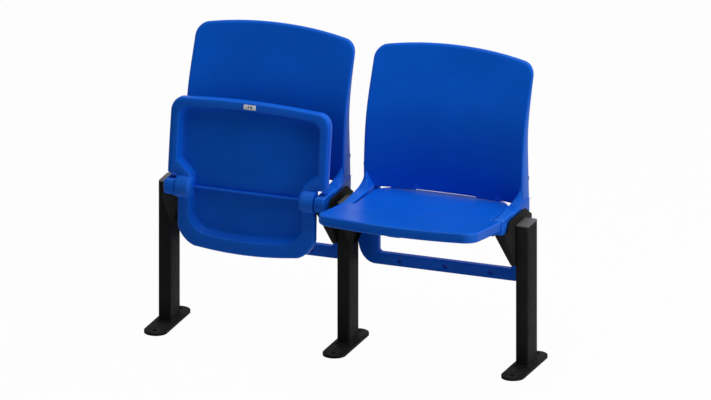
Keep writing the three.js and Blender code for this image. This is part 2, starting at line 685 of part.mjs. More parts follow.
// Right half of the pan's plan, from the rear middle to the front middle, as across and forward.
function panHalfPlan() {
  const path = new THREE.Path();
  const rear = PAN_REAR_HALF;
  const front = PAN_FRONT_HALF;
  const rearSide = PAN_REAR_CORNER - PAN_REAR;
  const frontSide = PAN_FRONT - PAN_FRONT_BOW - PAN_FRONT_CORNER;
  const rearEnd = PAN_REAR_BOW - PAN_REAR;
  const frontEnd = PAN_FRONT - PAN_FRONT_BOW;
  path.moveTo(0, -PAN_REAR);
  path.quadraticCurveTo((rear - PAN_REAR_CORNER) / 2, -PAN_REAR, rear - PAN_REAR_CORNER, rearEnd);
  path.bezierCurveTo(rear - PAN_REAR_CORNER / 2, rearEnd + PAN_REAR_BOW / 2,
    rear, rearSide - PAN_REAR_CORNER / 2, rear, rearSide);
  path.lineTo(rear, (rearSide + PAN_SHOULDER) / 2);
  path.lineTo(rear, PAN_SHOULDER - SHOULDER_FILLET);
  path.quadraticCurveTo(rear, PAN_SHOULDER, rear + SHOULDER_FILLET, PAN_SHOULDER);
  path.lineTo(front - SHOULDER_FILLET, PAN_SHOULDER);
  path.quadraticCurveTo(front, PAN_SHOULDER, front, PAN_SHOULDER + SHOULDER_FILLET);
  path.lineTo(front, (PAN_SHOULDER + frontSide) / 2);
  path.lineTo(front, frontSide);
  path.bezierCurveTo(front, frontEnd - PAN_FRONT_CORNER / 3,
    front - PAN_FRONT_CORNER / 3, frontEnd - PAN_FRONT_BOW / 4, front - PAN_FRONT_CORNER, frontEnd);
  path.quadraticCurveTo((front - PAN_FRONT_CORNER) / 2, PAN_FRONT, 0, PAN_FRONT);
  return path.getPoints(CURVE_STEPS);
}

// Inner edge of the rim, which jogs inwards beside the bosses.
function rimInnerPlan() {
  const rear = PAN_REAR_HALF - RIM_WIDTH;
  const front = PAN_FRONT_HALF - RIM_WIDTH;
  const corner = PAN_REAR_CORNER / 2;
  const rightHalf = [
    [0, RIM_REAR_WIDTH - PAN_REAR, 0],
    [rear, RIM_REAR_WIDTH + PAN_REAR_BOW - PAN_REAR, corner],
    [rear, RIM_JOG_START, corner / 2],
    [front, RIM_JOG_END, corner / 2],
    [front, PAN_FRONT - PAN_FRONT_BOW - RIM_FRONT_WIDTH, corner],
    [0, PAN_FRONT - RIM_FRONT_WIDTH, 0],
  ];
  const leftHalf = rightHalf.slice(1, -1).reverse().map(([x, y, radius]) => [-x, y, radius]);
  return roundedOutline([...rightHalf, ...leftHalf]).getPoints(CURVE_STEPS);
}

// Where a ray from the centre crosses a closed line of points that surrounds it.
function rayHit(centre, ray, line) {
  let reach = 0;
  line.forEach((start, i) => {
    const along = line[(i + 1) % line.length].clone().sub(start);
    const offset = start.clone().sub(centre);
    const facing = ray.cross(along);
    if (facing === 0) return;
    const distance = offset.cross(along) / facing;
    const share = offset.cross(ray) / facing;
    if (share >= 0 && share <= 1 && distance > reach) reach = distance;
  });
  return centre.clone().addScaledVector(ray, reach);
}

// Directions from the centre through the points of both lines, in order and with near doubles left out.
function stationRays(centre, lines) {
  const angles = lines.flat().map((point) => point.clone().sub(centre).angle()).sort((a, b) => a - b);
  const apart = angles.filter((angle, i) => i === 0 || angle - angles[i - 1] > STATION_GAP);
  return apart.map((angle) => new THREE.Vector2(Math.cos(angle), Math.sin(angle)));
}

// The pan as one closed skin of rings: over the top, round the edge, under the rim and back.
function makePanShell() {
  const rightHalf = panHalfPlan();
  const leftHalf = rightHalf.slice(1, -1).reverse().map((point) => new THREE.Vector2(-point.x, point.y));
  const outerLine = [...rightHalf, ...leftHalf];
  const innerLine = rimInnerPlan();
  const centre = new THREE.Vector2(0, PAN_SHOULDER * 2);
  const rays = stationRays(centre, [outerLine, innerLine]);
  const outer = rays.map((ray) => rayHit(centre, ray, outerLine));
  const inner = rays.map((ray) => rayHit(centre, ray, innerLine));
  const widths = outer.map((point, i) => point.distanceTo(inner[i]));
  // Each ring: share of the way to the rim, share across the rim, and depth below the top.
  const all = (share) => () => share;
  const edge = (i) => 1 - PAN_EDGE / widths[i];
  const crestOut = all(1 - RIM_BEVEL_SHARE);
  const crestIn = (i) => RIM_INNER_BEVEL / widths[i];
  const rings = [
    [0.5, all(0), 0],
    [1, all(0), 0],
    [1, edge, 0],
    [1, all(1), PAN_EDGE],
    [1, all(1), RIM_DEPTH - RIM_BEVEL_DROP],
    [1, crestOut, RIM_DEPTH],
    [1, crestIn, RIM_DEPTH],
    [1, all(0), PAN_SKIN],
    [0.5, all(0), PAN_SKIN],
  ];
  const places = [];
  const put = (point, depth) => places.push(point.x, -point.y, panTop(point.x, point.y) - depth);
  put(centre, 0);
  rings.forEach(([out, across, depth]) => inner.forEach((point, i) => {
    const start = centre.clone().lerp(point, out);
    put(start.lerp(outer[i], across(i)), depth);
  }));
  put(centre, PAN_SKIN);
  const count = outer.length;
  const last = 1 + rings.length * count;
  const faces = [];
  for (let i = 0; i < count; i += 1) {
    const next = (i + 1) % count;
    faces.push(0, 1 + next, 1 + i);
    faces.push(last, last - count + i, last - count + next);
    for (let ring = 0; ring < rings.length - 1; ring += 1) {
      const a = 1 + ring * count;
      const b = a + count;
      faces.push(a + i, a + next, b + i);
      faces.push(a + next, b + next, b + i);
    }
  }
  const geometry = new THREE.BufferGeometry();
  geometry.setAttribute('position', new THREE.BufferAttribute(new Float32Array(places), 3));
  geometry.setIndex(faces);
  return solidOf(geometry);
}

// A boss under the pan: a disc with its top cut level inside the skin.
function makePanBoss(side) {
  const level = panTop(BOSS_INNER, 0) - PAN_SKIN / 2;
  const angle = Math.asin(THREE.MathUtils.clamp(level / BOSS_RADIUS, 0, 1));
  const shape = new THREE.Shape();
  shape.absarc(0, 0, BOSS_RADIUS, Math.PI - angle, 2 * Math.PI + angle);
  shape.closePath();
  const turn = new THREE.Matrix4().makeBasis(
    new THREE.Vector3(0, 1, 0), new THREE.Vector3(0, 0, 1), new THREE.Vector3(1, 0, 0));
  const from = side > 0 ? BOSS_INNER : -BOSS_OUTER;
  return solidOf(extrude(shape, BOSS_WIDTH, BOSS_CURVE_STEPS).applyMatrix4(turn).translate(from, 0, 0));
}

function makePan() {
  const sides = [-1, 1];
  const ribTop = panTop(0, 0) - PAN_SKIN / 2;
  const ribBottom = panTop(0, 0) - PAN_SKIN - RIB_DEPTH;
  const ribHalf = BOSS_INNER + BOSS_END_WALL / 2;
  const rib = block(-ribHalf, ribHalf, -RIB_THICKNESS / 2, RIB_THICKNESS / 2, ribBottom, ribTop);
  const bores = sides.map((side) => rod(
    BUSH_RADIUS + FIT, side * (BOSS_INNER + BOSS_END_WALL), side * (BOSS_OUTER + CUT), 0, 0));
  const rivetBores = sides.map((side) => makeRivetBore(side));
  return cut(fuse([makePanShell(), ...sides.map(makePanBoss), rib]), [...bores, ...rivetBores]);
}

// The number plate lies on the front crest of the rim and follows its slope.
function plateFrame() {
  const outerEdge = PAN_FRONT - RIM_FRONT_WIDTH * RIM_BEVEL_SHARE;
  const innerEdge = PAN_FRONT - RIM_FRONT_WIDTH + RIM_INNER_BEVEL;
  const crest = (at) => panTop(0, at) - RIM_DEPTH;
  const slope = Math.atan2(crest(outerEdge) - crest(innerEdge), outerEdge - innerEdge);
  const forward = (outerEdge + innerEdge) / 2;
  return { forward, slope, level: (crest(outerEdge) + crest(innerEdge)) / 2 };
}

function onCrest(solid) {
  const { forward, slope, level } = plateFrame();
  return solid.rotate([-THREE.MathUtils.radToDeg(slope), 0, 0]).translate(0, -forward, level);
}

function rivetX(side) {
  return side * (PLATE_LENGTH / 2 - RIVET_INSET);
}

function makeRivetBore(side) {
  return onCrest(upright(RIVET_RADIUS + FIT, -CUT, RIVET_GRIP + FIT, rivetX(side), 0));
}

function makeNumberPlate() {
  const lowest = -2 * FIT - PLATE_THICKNESS;
  const plate = prismZ(roundedRectangle(PLATE_LENGTH, PLATE_WIDTH, PLATE_CORNER), lowest, -2 * FIT);
  const holes = [-1, 1].map((side) => upright(
    RIVET_RADIUS + FIT, lowest - CUT, CUT, rivetX(side), 0));
  return onCrest(cut(plate, holes));
}

function makeRivet(side) {
  const seat = -3 * FIT - PLATE_THICKNESS;
  const head = upright(RIVET_HEAD_RADIUS, seat - RIVET_HEAD_HEIGHT, seat, rivetX(side), 0);
  const shank = upright(RIVET_RADIUS, seat - RIVET_HEAD_HEIGHT / 2, RIVET_GRIP, rivetX(side), 0);
  return onCrest(head.add(shank));
}

// Assembly

function piece(name, solid, material) {
  const mesh = new THREE.Mesh(geometryOf(solid), material);
  mesh.name = name;
  return mesh;
}

function assemblePost(name, index) {
  const group = new THREE.Group();
  group.add(
    piece(`${name}_foot_plate`, makeFootPlate(), blackPaint),
    piece(`${name}_post`, makePost(), blackPaint),
    piece(`${name}_post_cap`, makePostCap(), blackPlastic),
  );
  group.position.x = (index - (POST_NAMES.length - 1) / 2) * SEAT_PITCH;
  return group;
}

function assemblePan(name) {
  const group = new THREE.Group();
  group.add(piece(`${name}_seat_pan`, makePan(), bluePlastic));
  group.add(piece(`${name}_number_plate`, makeNumberPlate(), whitePlastic));
  [[-1, 'left'], [1, 'right']].forEach(([side, hand]) => {
    group.add(piece(`${name}_hinge_bush_${hand}`, makeHingeBush(side), blackPlastic));
    group.add(piece(`${name}_plate_rivet_${hand}`, makeRivet(side), zincSteel));
  });
  const raised = RAISED_SEATS.includes(name) ? TIP_TRAVEL : 0;
  group.position.set(0, HINGE_Y, HINGE_Z);
  group.rotation.x = -THREE.MathUtils.degToRad(LOWERED_SLOPE + raised);
  return group;
}

function assembleSeat(name, index) {
  const group = new THREE.Group();
  group.add(piece(`${name}_back`, makeBackMoulding(), bluePlastic));
  group.add(assemblePan(name));
  [[-1, 'left'], [1, 'right']].forEach(([side, hand]) => {
    group.add(piece(`${name}_bracket_${hand}`, makeBracket(side), blackPaint));
    group.add(piece(`${name}_hinge_pin_${hand}`, makeHingePin(side), zincSteel));
    boltPlaces().forEach((y, i) => {
      const end = ['front', 'rear'][i];
      group.add(piece(`${name}_arm_bolt_${hand}_${end}`, makeBolt(side, y), zincSteel));
    });
  });
  group.position.x = (index - (SEAT_NAMES.length - 1) / 2) * SEAT_PITCH;
  return group;
}

const row = new THREE.Group();
POST_NAMES.forEach((name, index) => row.add(assemblePost(name, index)));
SEAT_NAMES.forEach((name, index) => row.add(assembleSeat(name, index)));

export default row;
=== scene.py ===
import math

import bmesh
import bpy
from bpy.props import FloatProperty, FloatVectorProperty, PointerProperty
from bpy.types import Operator, Panel, PropertyGroup
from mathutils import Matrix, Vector


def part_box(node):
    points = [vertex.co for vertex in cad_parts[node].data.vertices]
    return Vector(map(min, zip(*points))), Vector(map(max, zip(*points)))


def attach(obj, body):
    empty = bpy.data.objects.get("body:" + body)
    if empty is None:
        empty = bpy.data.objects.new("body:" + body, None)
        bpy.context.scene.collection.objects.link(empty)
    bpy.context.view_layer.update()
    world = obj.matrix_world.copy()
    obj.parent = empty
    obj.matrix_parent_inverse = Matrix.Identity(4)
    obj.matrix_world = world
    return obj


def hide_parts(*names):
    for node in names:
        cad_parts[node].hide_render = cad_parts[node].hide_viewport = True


bl_info = {
    "name": "Stadium seat row",
    "version": (1, 0, 0),
    "blender": (4, 5, 0),
    "location": "View3D > Sidebar > Seat row",
    "description": "Builds the visible pieces of a two-seat row of tip-up stadium chairs",
    "category": "Object",
}

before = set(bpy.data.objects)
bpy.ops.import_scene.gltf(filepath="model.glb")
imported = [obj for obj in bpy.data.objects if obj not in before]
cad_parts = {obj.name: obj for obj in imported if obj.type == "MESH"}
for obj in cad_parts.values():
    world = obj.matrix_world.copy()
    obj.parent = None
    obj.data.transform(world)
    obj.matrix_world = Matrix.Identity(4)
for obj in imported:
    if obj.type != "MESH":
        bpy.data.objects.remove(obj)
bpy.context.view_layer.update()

X, Y, Z = 0, 1, 2
FIT = 0.0003  # Gap between pieces that lie against each other
NEAR = 1e-5  # Places closer than this count as the same
CLOSE = 1e-4  # Vertices closer than this to a face's plane belong to it

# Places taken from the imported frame
PIN_LOW, PIN_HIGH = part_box("right_hinge_pin_right")
POST_LOW, POST_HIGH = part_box("right_post")
HINGE_Y = (PIN_LOW.y + PIN_HIGH.y) / 2
HINGE_Z = (PIN_LOW.z + PIN_HIGH.z) / 2
PITCH = (POST_LOW.x + POST_HIGH.x) / 2
POST_Y = (POST_LOW.y + POST_HIGH.y) / 2
POST_FOOT = POST_LOW.z
POST_TOP = POST_HIGH.z
POST_WIDTH = POST_HIGH.x - POST_LOW.x
POST_DEPTH = POST_HIGH.y - POST_LOW.y
BRACKET_TOP = POST_TOP - 0.001
BRACKET_OUTER = (PITCH - POST_WIDTH) / 2 - FIT
BRACKET_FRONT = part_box("right_bracket_right")[0].y
BACK_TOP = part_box("right_back")[1].z

# The seats and the posts by their middles, and the two sides of a seat
SEATS = {"left": -PITCH / 2, "right": PITCH / 2}
POSTS = {"left": -PITCH, "middle": 0, "right": PITCH}
HANDS = {"left": -1, "right": 1}

# The back panels: share of the half width where the crown begins, foot of the stop tabs and their inner and
# outer edges
CROWN_SHARE = 0.186 / 0.22
TAB_LOW = 0.4238
TAB_INNER, TAB_OUTER = 0.0845, 0.1515

# The arms: rise of their level top over the hinge line, height of the sweep up into the wall, and its length
ARM_RISE = 0.019
FLARE_HEIGHT, FLARE_LENGTH, FLARE_STEPS = 0.062, 0.066, 14

# The tube of the posts: its wall and the radius of its corners
TUBE_WALL, TUBE_CORNER = 0.0025, 0.004

# The arm bolts: distance from the seat's middle, and distances behind the hinge line
BOLT_X = 0.214
BOLT_BACKSETS = {"front": 0.045, "rear": 0.105}

# The hinges: the bush's flange between arm and boss, and the inner end of pin and bush
FLANGE_LOW, FLANGE_HIGH = 0.1933, 0.1947
PIN_END = 0.1643

# Rings of a pan from its widest line: drawn in at the sides, the front and the rear, and depth under the top
PAN_EDGE = 0.005
OVER = ((0.0006, 0.0006, 0.0006, 0.0031), (0.0019, 0.0019, 0.0019, 0.0014),
        (0.0039, 0.0039, 0.0039, 0.0004), (0.0065, 0.0065, 0.0065, 0.0))
UNDER = ((0, 0, 0, 0.0200), (0.0006, 0.0004, 0.0006, 0.0232), (0.0022, 0.0014, 0.0022, 0.0260),
         (0.0044, 0.0028, 0.0044, 0.0274), (0.0070, 0.0045, 0.0070, 0.0280),
         (0.0225, 0.0200, 0.0350, 0.0280), (0.0240, 0.0214, 0.0370, 0.0275), (0.0251, 0.0224, 0.0387, 0.0262),
         (0.0263, 0.0234, 0.0408, 0.0230), (0.0300, 0.0262, 0.0490, 0.0095), (0.0312, 0.0272, 0.0510, 0.0066),
         (0.0340, 0.0300, 0.0545, 0.0050))
CREST = 5  # The ring on the inner side of the rim's crest

# The stage: place, size and power of each lamp, light from all sides, and the floor's share of white
LAMPS = {"key_lamp": ((0.3, 0.1, 4.0), 2.6, 102),
         "side_lamp": ((4.0, -0.75, 1.3), 1.6, 58),
         "rear_lamp": ((0.4, 3.2, 2.4), 2.6, 4)}
WORLD_POWER = 0.085
FLOOR_GLOW = 0.97
WHITE = (1, 1, 1, 1)


def length(name, default, low, high, description):
    return FloatProperty(
        name=name, description=description, default=default, min=low, max=high, unit="LENGTH")


def tint(name, default, description):
    return FloatVectorProperty(
        name=name, description=description, default=default, min=0, max=1, size=3, subtype="COLOR")


class SeatRowSizes(PropertyGroup):
    back_width: length("Back width", 0.445, 0.3, 0.6, "Width of a back panel over its side walls")
    back_height: length(
        "Back height", 0.3805, 0.2, 0.6, "Height of a back panel from its lower edge to its crown")
    back_corner: length("Back corner", 0.033, 0.01, 0.08, "Radius of the upper corners of a back panel")
    back_crown: length("Back crown", 0.0157, 0.0, 0.05, "Rise of the top edge from its shoulders to its middle")
    back_rake: length("Back rake", 0.106, 0.0, 0.3, "How far the panel leans back from bottom to top")
    back_setback: length(
        "Back setback", 0.1265, 0.05, 0.3, "Distance from the hinge line to the panel's foremost line")
    back_wall: length("Back wall", 0.0042, 0.002, 0.01, "Thickness of the moulded back")
    wall_depth: length(
        "Wall depth", 0.05, 0.01, 0.1, "Depth of the rear-turned side walls at the foot of the panel")
    slit_rise: length("Slit rise", 0.0147, 0.0, 0.05, "Height of the panel's lower edge over the hinge line")
    arm_outer: length(
        "Arm outer face", 0.225, 0.15, 0.3, "Distance of an arm's outer face from the seat's middle")
    arm_width: length("Arm width", 0.03, 0.01, 0.06, "Width of an arm at its hinge")
    arm_boss: length("Arm boss", 0.029, 0.01, 0.05, "Radius of the round end of an arm")
    pan_front: length(
        "Pan front", 0.2455, 0.15, 0.35, "Distance from the hinge line to the front edge of a pan")
    pan_rear: length("Pan rear", 0.169, 0.1, 0.25, "Distance from the hinge line to the rear edge of a pan")
    pan_half: length("Pan half width", 0.2225, 0.15, 0.3, "Half of a pan's width in front of its bosses")
    pan_rear_half: length("Pan rear half width", 0.191, 0.1, 0.3, "Half of a pan's width behind its shoulders")
    rim_depth: length("Rim depth", 0.028, 0.01, 0.05, "Depth of the rim under a pan")
    pan_slope: FloatProperty(
        name="Lowered slope", description="Slope of a lowered pan, its front edge up",
        default=math.radians(5.8), min=0.0, max=0.5, subtype="ANGLE")
    rail_height: length("Rail height", 0.0325, 0.01, 0.06, "Height of the rail under the seats")
    foot_length: length("Foot length", 0.23, 0.1, 0.4, "Length of a foot plate")
    foot_width: length("Foot width", 0.063, 0.03, 0.12, "Width of a foot plate")
    foot_thickness: length("Foot thickness", 0.008, 0.004, 0.02, "Thickness of a foot plate")


class SeatRowColours(PropertyGroup):
    plastic: tint("Seat plastic", (0.003, 0.113, 0.67), "Colour of the moulded backs and pans")
    paint: tint("Frame paint", (0.018, 0.018, 0.0176), "Colour of the powder coat on the steel frame")
    fittings: tint("Black plastic", (0.06, 0.06, 0.059), "Colour of the post caps and the hinge bushes")
    steel: tint("Zinc steel", (0.46, 0.47, 0.48), "Colour of the plated pins, bolts and rivets")
    plate: tint("Number plate", (0.9, 0.92, 0.95), "Colour of the number plates")
    digits: tint("Digits", (0.02, 0.025, 0.04), "Colour of the digits on the number plates")
    floor: tint("Floor", (0.68, 0.68, 0.68), "Colour of the floor around the row")


# Working with the selection


def let_go():
    """Leaves edit mode and deselects every object."""
    if bpy.context.object is not None and bpy.context.object.mode != "OBJECT":
        bpy.ops.object.mode_set(mode="OBJECT")
    bpy.ops.object.select_all(action="DESELECT")


def take(*pieces):
    """Selects these objects alone, and makes the first one active."""
    let_go()
    for piece in pieces:
        piece.select_set(True)
    bpy.context.view_layer.objects.active = pieces[0]


def open_up(piece):
    take(piece)
    bpy.ops.object.mode_set(mode="EDIT")


def open_new(name):
    """Gives the primitive that was just added its name and true coordinates, and opens it in edit mode."""
    piece = bpy.context.object
    piece.name = piece.data.name = name
    bpy.ops.object.transform_apply(location=True, rotation=True, scale=True)
    open_up(piece)
    return piece


def pick_all():
    bpy.ops.mesh.select_all(action="SELECT")


def pick(piece, test, kind="VERT"):
    """Selects the vertices, edges or faces of an open piece that pass the test."""
    bpy.ops.mesh.select_mode(type=kind)
    mesh = bmesh.from_edit_mesh(piece.data)
    kinds = {"VERT": mesh.verts, "EDGE": mesh.edges, "FACE": mesh.faces}
    chosen = [part for part in kinds[kind] if test(part)]
    for part in (*mesh.faces, *mesh.edges, *mesh.verts):
        part.select_set(False)
    for part in chosen:
        part.select_set(True)
    mesh.select_flush_mode()
    bmesh.update_edit_mesh(piece.data)
    if not chosen:
        raise RuntimeError(f"{piece.name}: nothing there to select")


def pick_between(piece, test):
    """Selects the edges of an open piece whose two vertices both pass the test."""
    pick(piece, lambda e: all(test(v) for v in e.verts), "EDGE")


def pick_along(piece, axis, least):
    """Selects the edges of an open piece that run further than this along an axis."""
    pick(piece, lambda e: abs(e.verts[0].co[axis] - e.verts[1].co[axis]) > least, "EDGE")


def pick_facing(piece, axis, way):
    """Selects the faces of an open piece that look along an axis, forwards or backwards."""
    pick(piece, lambda f: f.normal[axis] * way > 0.9, "FACE")


def near(a, b, reach=NEAR):
    return abs(a - b) < reach


def apart(values):
    """These values in their order, with near-equal ones counted once."""
    kept = []
    for value in sorted(values):
        if not kept or value - kept[-1] > NEAR:
            kept.append(value)
    return kept


def places(piece, axis, test=lambda vertex: True):
    """The different places along an axis of the vertices that pass the test."""
    mesh = bmesh.from_edit_mesh(piece.data)
    return apart(vertex.co[axis] for vertex in mesh.verts if test(vertex))


def middle_of(part):
    return sum((vertex.co for vertex in part.verts), Vector()) / len(part.verts)


# Changing what is selected


def shift(x=0.0, y=0.0, z=0.0):
    bpy.ops.transform.translate(value=(x, y, z))


def grow(x=1.0, y=1.0, z=1.0, about=(0, 0, 0)):
    bpy.ops.transform.resize(value=(x, y, z), center_override=about)


def push_out(x=0.0, y=0.0, z=0.0):
    """Extrudes the selection and moves what is new."""
    bpy.ops.mesh.extrude_region_move(TRANSFORM_OT_translate={"value": (x, y, z)})


def pull_edges(x=0.0, y=0.0, z=0.0):
    """Extrudes the selected edges and moves the new ones."""
    bpy.ops.mesh.extrude_edges_move(TRANSFORM_OT_translate={"value": (x, y, z)})


def round_edges(offset, segments):
    bpy.ops.mesh.bevel(offset=offset, segments=segments, affect="EDGES")


def round_corners(offset, segments, profile=0.5):
    bpy.ops.mesh.bevel(offset=offset, segments=segments, profile=profile, affect="VERTICES")


def cut_away(point, normal):
    """Cuts the whole of an open piece with a plane, and fills the cut."""
    pick_all()
    bpy.ops.mesh.bisect(plane_co=point, plane_no=normal, use_fill=True, clear_outer=True)


def slice_at(piece, axis, cuts, test=lambda face: True):
    """Cuts the faces that pass the test with planes across an axis."""
    normal = [0, 0, 0]
    normal[axis] = 1
    for cut in cuts:
        pick(piece, test, "FACE")
        bpy.ops.mesh.bisect(plane_co=[cut * part for part in normal], plane_no=normal)


def steps_between(low, high, count):
    """The inner ends of this many equal steps."""
    return [low + (high - low) * i / count for i in range(1, count)]


# New pieces, each opened in edit mode


def sheet(name, size, place, turn=0.0):
    """A flat rectangle about a place, selected. It is level, or turned about the X axis."""
    let_go()
    bpy.ops.mesh.primitive_plane_add(size=1, rotation=(turn, 0, 0))
    piece = open_new(name)
    pick_all()
    grow(*size)
    shift(*place)
    return piece


def box(name, size, place):
    let_go()
    bpy.ops.mesh.primitive_cube_add(size=1, location=place, scale=size)
    return open_new(name)


def rod(name, radius, low, high, axis=X, place=(0, 0, 0), sides=40, spin=0.0):
    """A rod from low to high along an axis through a place. An upright one can be spun."""
    middle = list(place)
    middle[axis] = (low + high) / 2
    turn = ((0, math.pi / 2, 0), (-math.pi / 2, 0, 0), (0, 0, spin))[axis]
    let_go()
    bpy.ops.mesh.primitive_cylinder_add(
        vertices=sides, radius=radius, depth=high - low, rotation=turn, location=middle)
    return open_new(name)


# Whole pieces


def finish_with(piece, kind, **settings):
    """Adds a modifier and applies it."""
    take(piece)
    modifier = piece.modifiers.new(kind.title(), kind)
    for name, value in settings.items():
        setattr(modifier, name, value)
    bpy.ops.object.modifier_apply(modifier=modifier.name)


def thicken(piece, thickness, even=True):
    finish_with(piece, "SOLIDIFY", thickness=thickness, offset=-1, use_even_offset=even)


def soften_edges(piece, width, segments, degrees, clamp=True):
    """Rounds the edges where faces meet at more than this angle."""
    finish_with(piece, "BEVEL", width=width, segments=segments, limit_method="ANGLE",
                angle_limit=math.radians(degrees), use_clamp_overlap=clamp)


def smooth_over(piece, degrees=32):
    take(piece)
    bpy.ops.object.shade_smooth_by_angle(angle=math.radians(degrees))


def remove_from(piece, cutter):
    finish_with(piece, "BOOLEAN", operation="DIFFERENCE", solver="EXACT", object=cutter)
    drop(cutter)


def add_to(piece, other):
    finish_with(piece, "BOOLEAN", operation="UNION", solver="EXACT", object=other)
    drop(other)


def drop(piece):
    mesh = piece.data
    bpy.data.objects.remove(piece)
    bpy.data.meshes.remove(mesh)


def join(*pieces):
    take(*pieces)
    bpy.ops.object.join()
    return pieces[0]


def tidy_faces(piece):
    """Merges doubled vertices and turns every face outwards."""
    open_up(piece)
    pick_all()
    bpy.ops.mesh.remove_doubles(threshold=NEAR)
    bpy.ops.mesh.normals_make_consistent(inside=False)
    if bmesh.from_edit_mesh(piece.data).calc_volume(signed=True) < 0:
        bpy.ops.mesh.flip_normals()
    let_go()


def bend(piece, low, high, counts, height, axis):
    """Bends a flat piece with a lattice whose points move along an axis by height(place)."""
    let_go()
    low, high = Vector(low), Vector(high)
    bpy.ops.object.add(type="LATTICE", location=(low + high) / 2)
    lattice = bpy.context.object
    lattice.scale = high - low
    cage = lattice.data
    cage.points_u, cage.points_v, cage.points_w = counts
    for side in ("u", "v", "w"):
        setattr(cage, f"interpolation_type_{side}", "KEY_CATMULL_ROM")
    bpy.context.view_layer.update()
    for point in cage.points:
        place = lattice.matrix_world @ point.co
        point.co_deform[axis] = point.co[axis] + height(place) / lattice.scale[axis]
    finish_with(piece, "LATTICE", object=lattice)
    bpy.data.objects.remove(lattice)
    bpy.data.lattices.remove(cage)


def copy_of(piece, name, place=(0, 0, 0), turn=0.0, mirrored=False):
    """A copy with its own mesh, turned about the X axis and moved to its place."""
    take(piece)
    bpy.ops.object.duplicate(linked=False)
    copy = bpy.context.object
    copy.name = copy.data.name = name
    copy.scale.x = -1 if mirrored else 1
    copy.rotation_euler.x = turn
    copy.location = place
    bpy.ops.object.transform_apply(location=True, rotation=True, scale=True)
    if mirrored:
        tidy_faces(copy)
    return copy


def hand_over(piece, body, slot, *nodes, look=None):
    """Puts the finish on a piece, and the piece on its body in place of CAD nodes."""
    piece.data.materials.clear()
    piece.data.materials.append(finish(look or slot))
    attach(piece, body)
    if nodes:
        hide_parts(*nodes)


def at_seats(piece, name, slot, node, *turns, body="frame", place=(0, 0)):
    """Hands over a copy of a piece at each seat, and drops it. Names hold {seat}."""
    for seat, turn in zip(SEATS, turns or (0, 0)):
        copy = copy_of(piece, name.format(seat=seat), (SEATS[seat], *place), turn)
        hand_over(copy, body.format(seat=seat), slot, node.format(seat=seat))
    drop(piece)


def at_sides(piece, name, slot, *nodes, body="frame", place=(0, 0), smooth=None):
    """Hands over a copy of a piece at the right of each seat, a mirrored one at its left, and drops it."""
    for seat, middle in SEATS.items():
        for hand, side in HANDS.items():
            names = {"seat": seat, "hand": hand}
            copy = copy_of(piece, name.format(**names), (middle, *place), mirrored=side < 0)
            if smooth:
                smooth_over(copy, smooth)
            hand_over(copy, body.format(**names), slot, *(node.format(**names) for node in nodes))
    drop(piece)


def at_posts(piece, name, slot, node):
    """Hands over a copy of a piece at each post, and drops it."""
    for post, middle in POSTS.items():
        hand_over(copy_of(piece, f"{post}_{name}", (middle, 0, 0)), "frame", slot, f"{post}_{node}")
    drop(piece)


# Finishes


class Wiring:
    """Adds nodes to a tree, and fills or links their inputs."""

    def __init__(self, tree):
        self.nodes, self.links = tree.nodes, tree.links

    def put(self, value, socket):
        if isinstance(value, bpy.types.NodeSocket):
            self.links.new(value, socket)
        else:
            socket.default_value = value

    def fill(self, node, **inputs):
        """Fills inputs by their names, with underscores for the spaces."""
        for name, value in inputs.items():
            self.put(value, node.inputs[name.replace("_", " ")])
        return node

    def add(self, kind, **inputs):
        return self.fill(self.nodes.new(f"ShaderNode{kind}"), **inputs)

    def maths(self, operation, a, b):
        node = self.add("Math")
        node.operation = operation
        self.put(a, node.inputs[0])
        self.put(b, node.inputs[1])
        return node.outputs[0]

    def either_shader(self, share, a, b):
        """The second of two shaders in this share, and the first in the rest."""
        node = self.add("MixShader", Fac=share)
        self.put(a.outputs[0], node.inputs[1])
        self.put(b.outputs[0], node.inputs[2])
        return node.outputs["Shader"]

    def seen_or_mirrored(self):
        """1 for rays from the camera and for mirrored or refracted ones, which show the background."""
        path = self.add("LightPath")
        total = path.outputs["Is Camera Ray"]
        for name in ("Is Glossy Ray", "Is Transmission Ray"):
            total = self.maths("MAXIMUM", total, path.outputs[name])
        return total


class Look(Wiring):
    """A material in the making, with its patterns fixed to the piece."""

    def __init__(self, name):
        self.material = bpy.data.materials.new(name)
        self.material.use_nodes = True
        super().__init__(self.material.node_tree)
        self.shader = self.nodes["Principled BSDF"]

    def place(self):
        return self.add("TexCoord").outputs["Object"]

    def noise(self, scale, detail=2.0, roughness=0.5, stretch=(1, 1, 1)):
        """A noise pattern, scale in features a metre."""
        turn = self.add("Mapping", Vector=self.place(), Scale=stretch)
        pattern = self.add("TexNoise", Vector=turn.outputs["Vector"], Scale=scale, Detail=detail,
                           Roughness=roughness)
        return pattern.outputs["Fac"]

    def edges(self):
        return self.add("NewGeometry").outputs["Pointiness"]

    def remap(self, value, low, high, to_low=0, to_high=1):
        node = self.add("MapRange", Value=value, From_Min=low, From_Max=high, To_Min=to_low, To_Max=to_high)
        return node.outputs["Result"]

    def blend(self, factor, a, b):
        """Two colours, plain or from a node, mixed by a factor."""
        node = self.add("Mix")
        node.data_type = "RGBA"
        self.put(factor, node.inputs["Factor"])
        for socket, colour in zip((s for s in node.inputs if s.type == "RGBA"), (a, b)):
            self.put(colour if isinstance(colour, bpy.types.NodeSocket) else (*colour, 1), socket)
        return next(s for s in node.outputs if s.type == "RGBA")

    def bumps(self, *layers):
        """Stacks bump maps: pairs of a height and its depth in metres."""
        normal = {}
        for height, depth in layers:
            node = self.add("Bump", Strength=1.0, Distance=depth, Height=height, **normal)
            normal = {"Normal": node.outputs["Normal"]}
        self.fill(self.shader, **normal)

    def dress(self, colour, gloss, **others):
        """Puts colour, roughness and any other inputs on the shader, and gives the material."""
        self.fill(self.shader, Base_Color=colour, Roughness=gloss, **others)
        return self.material


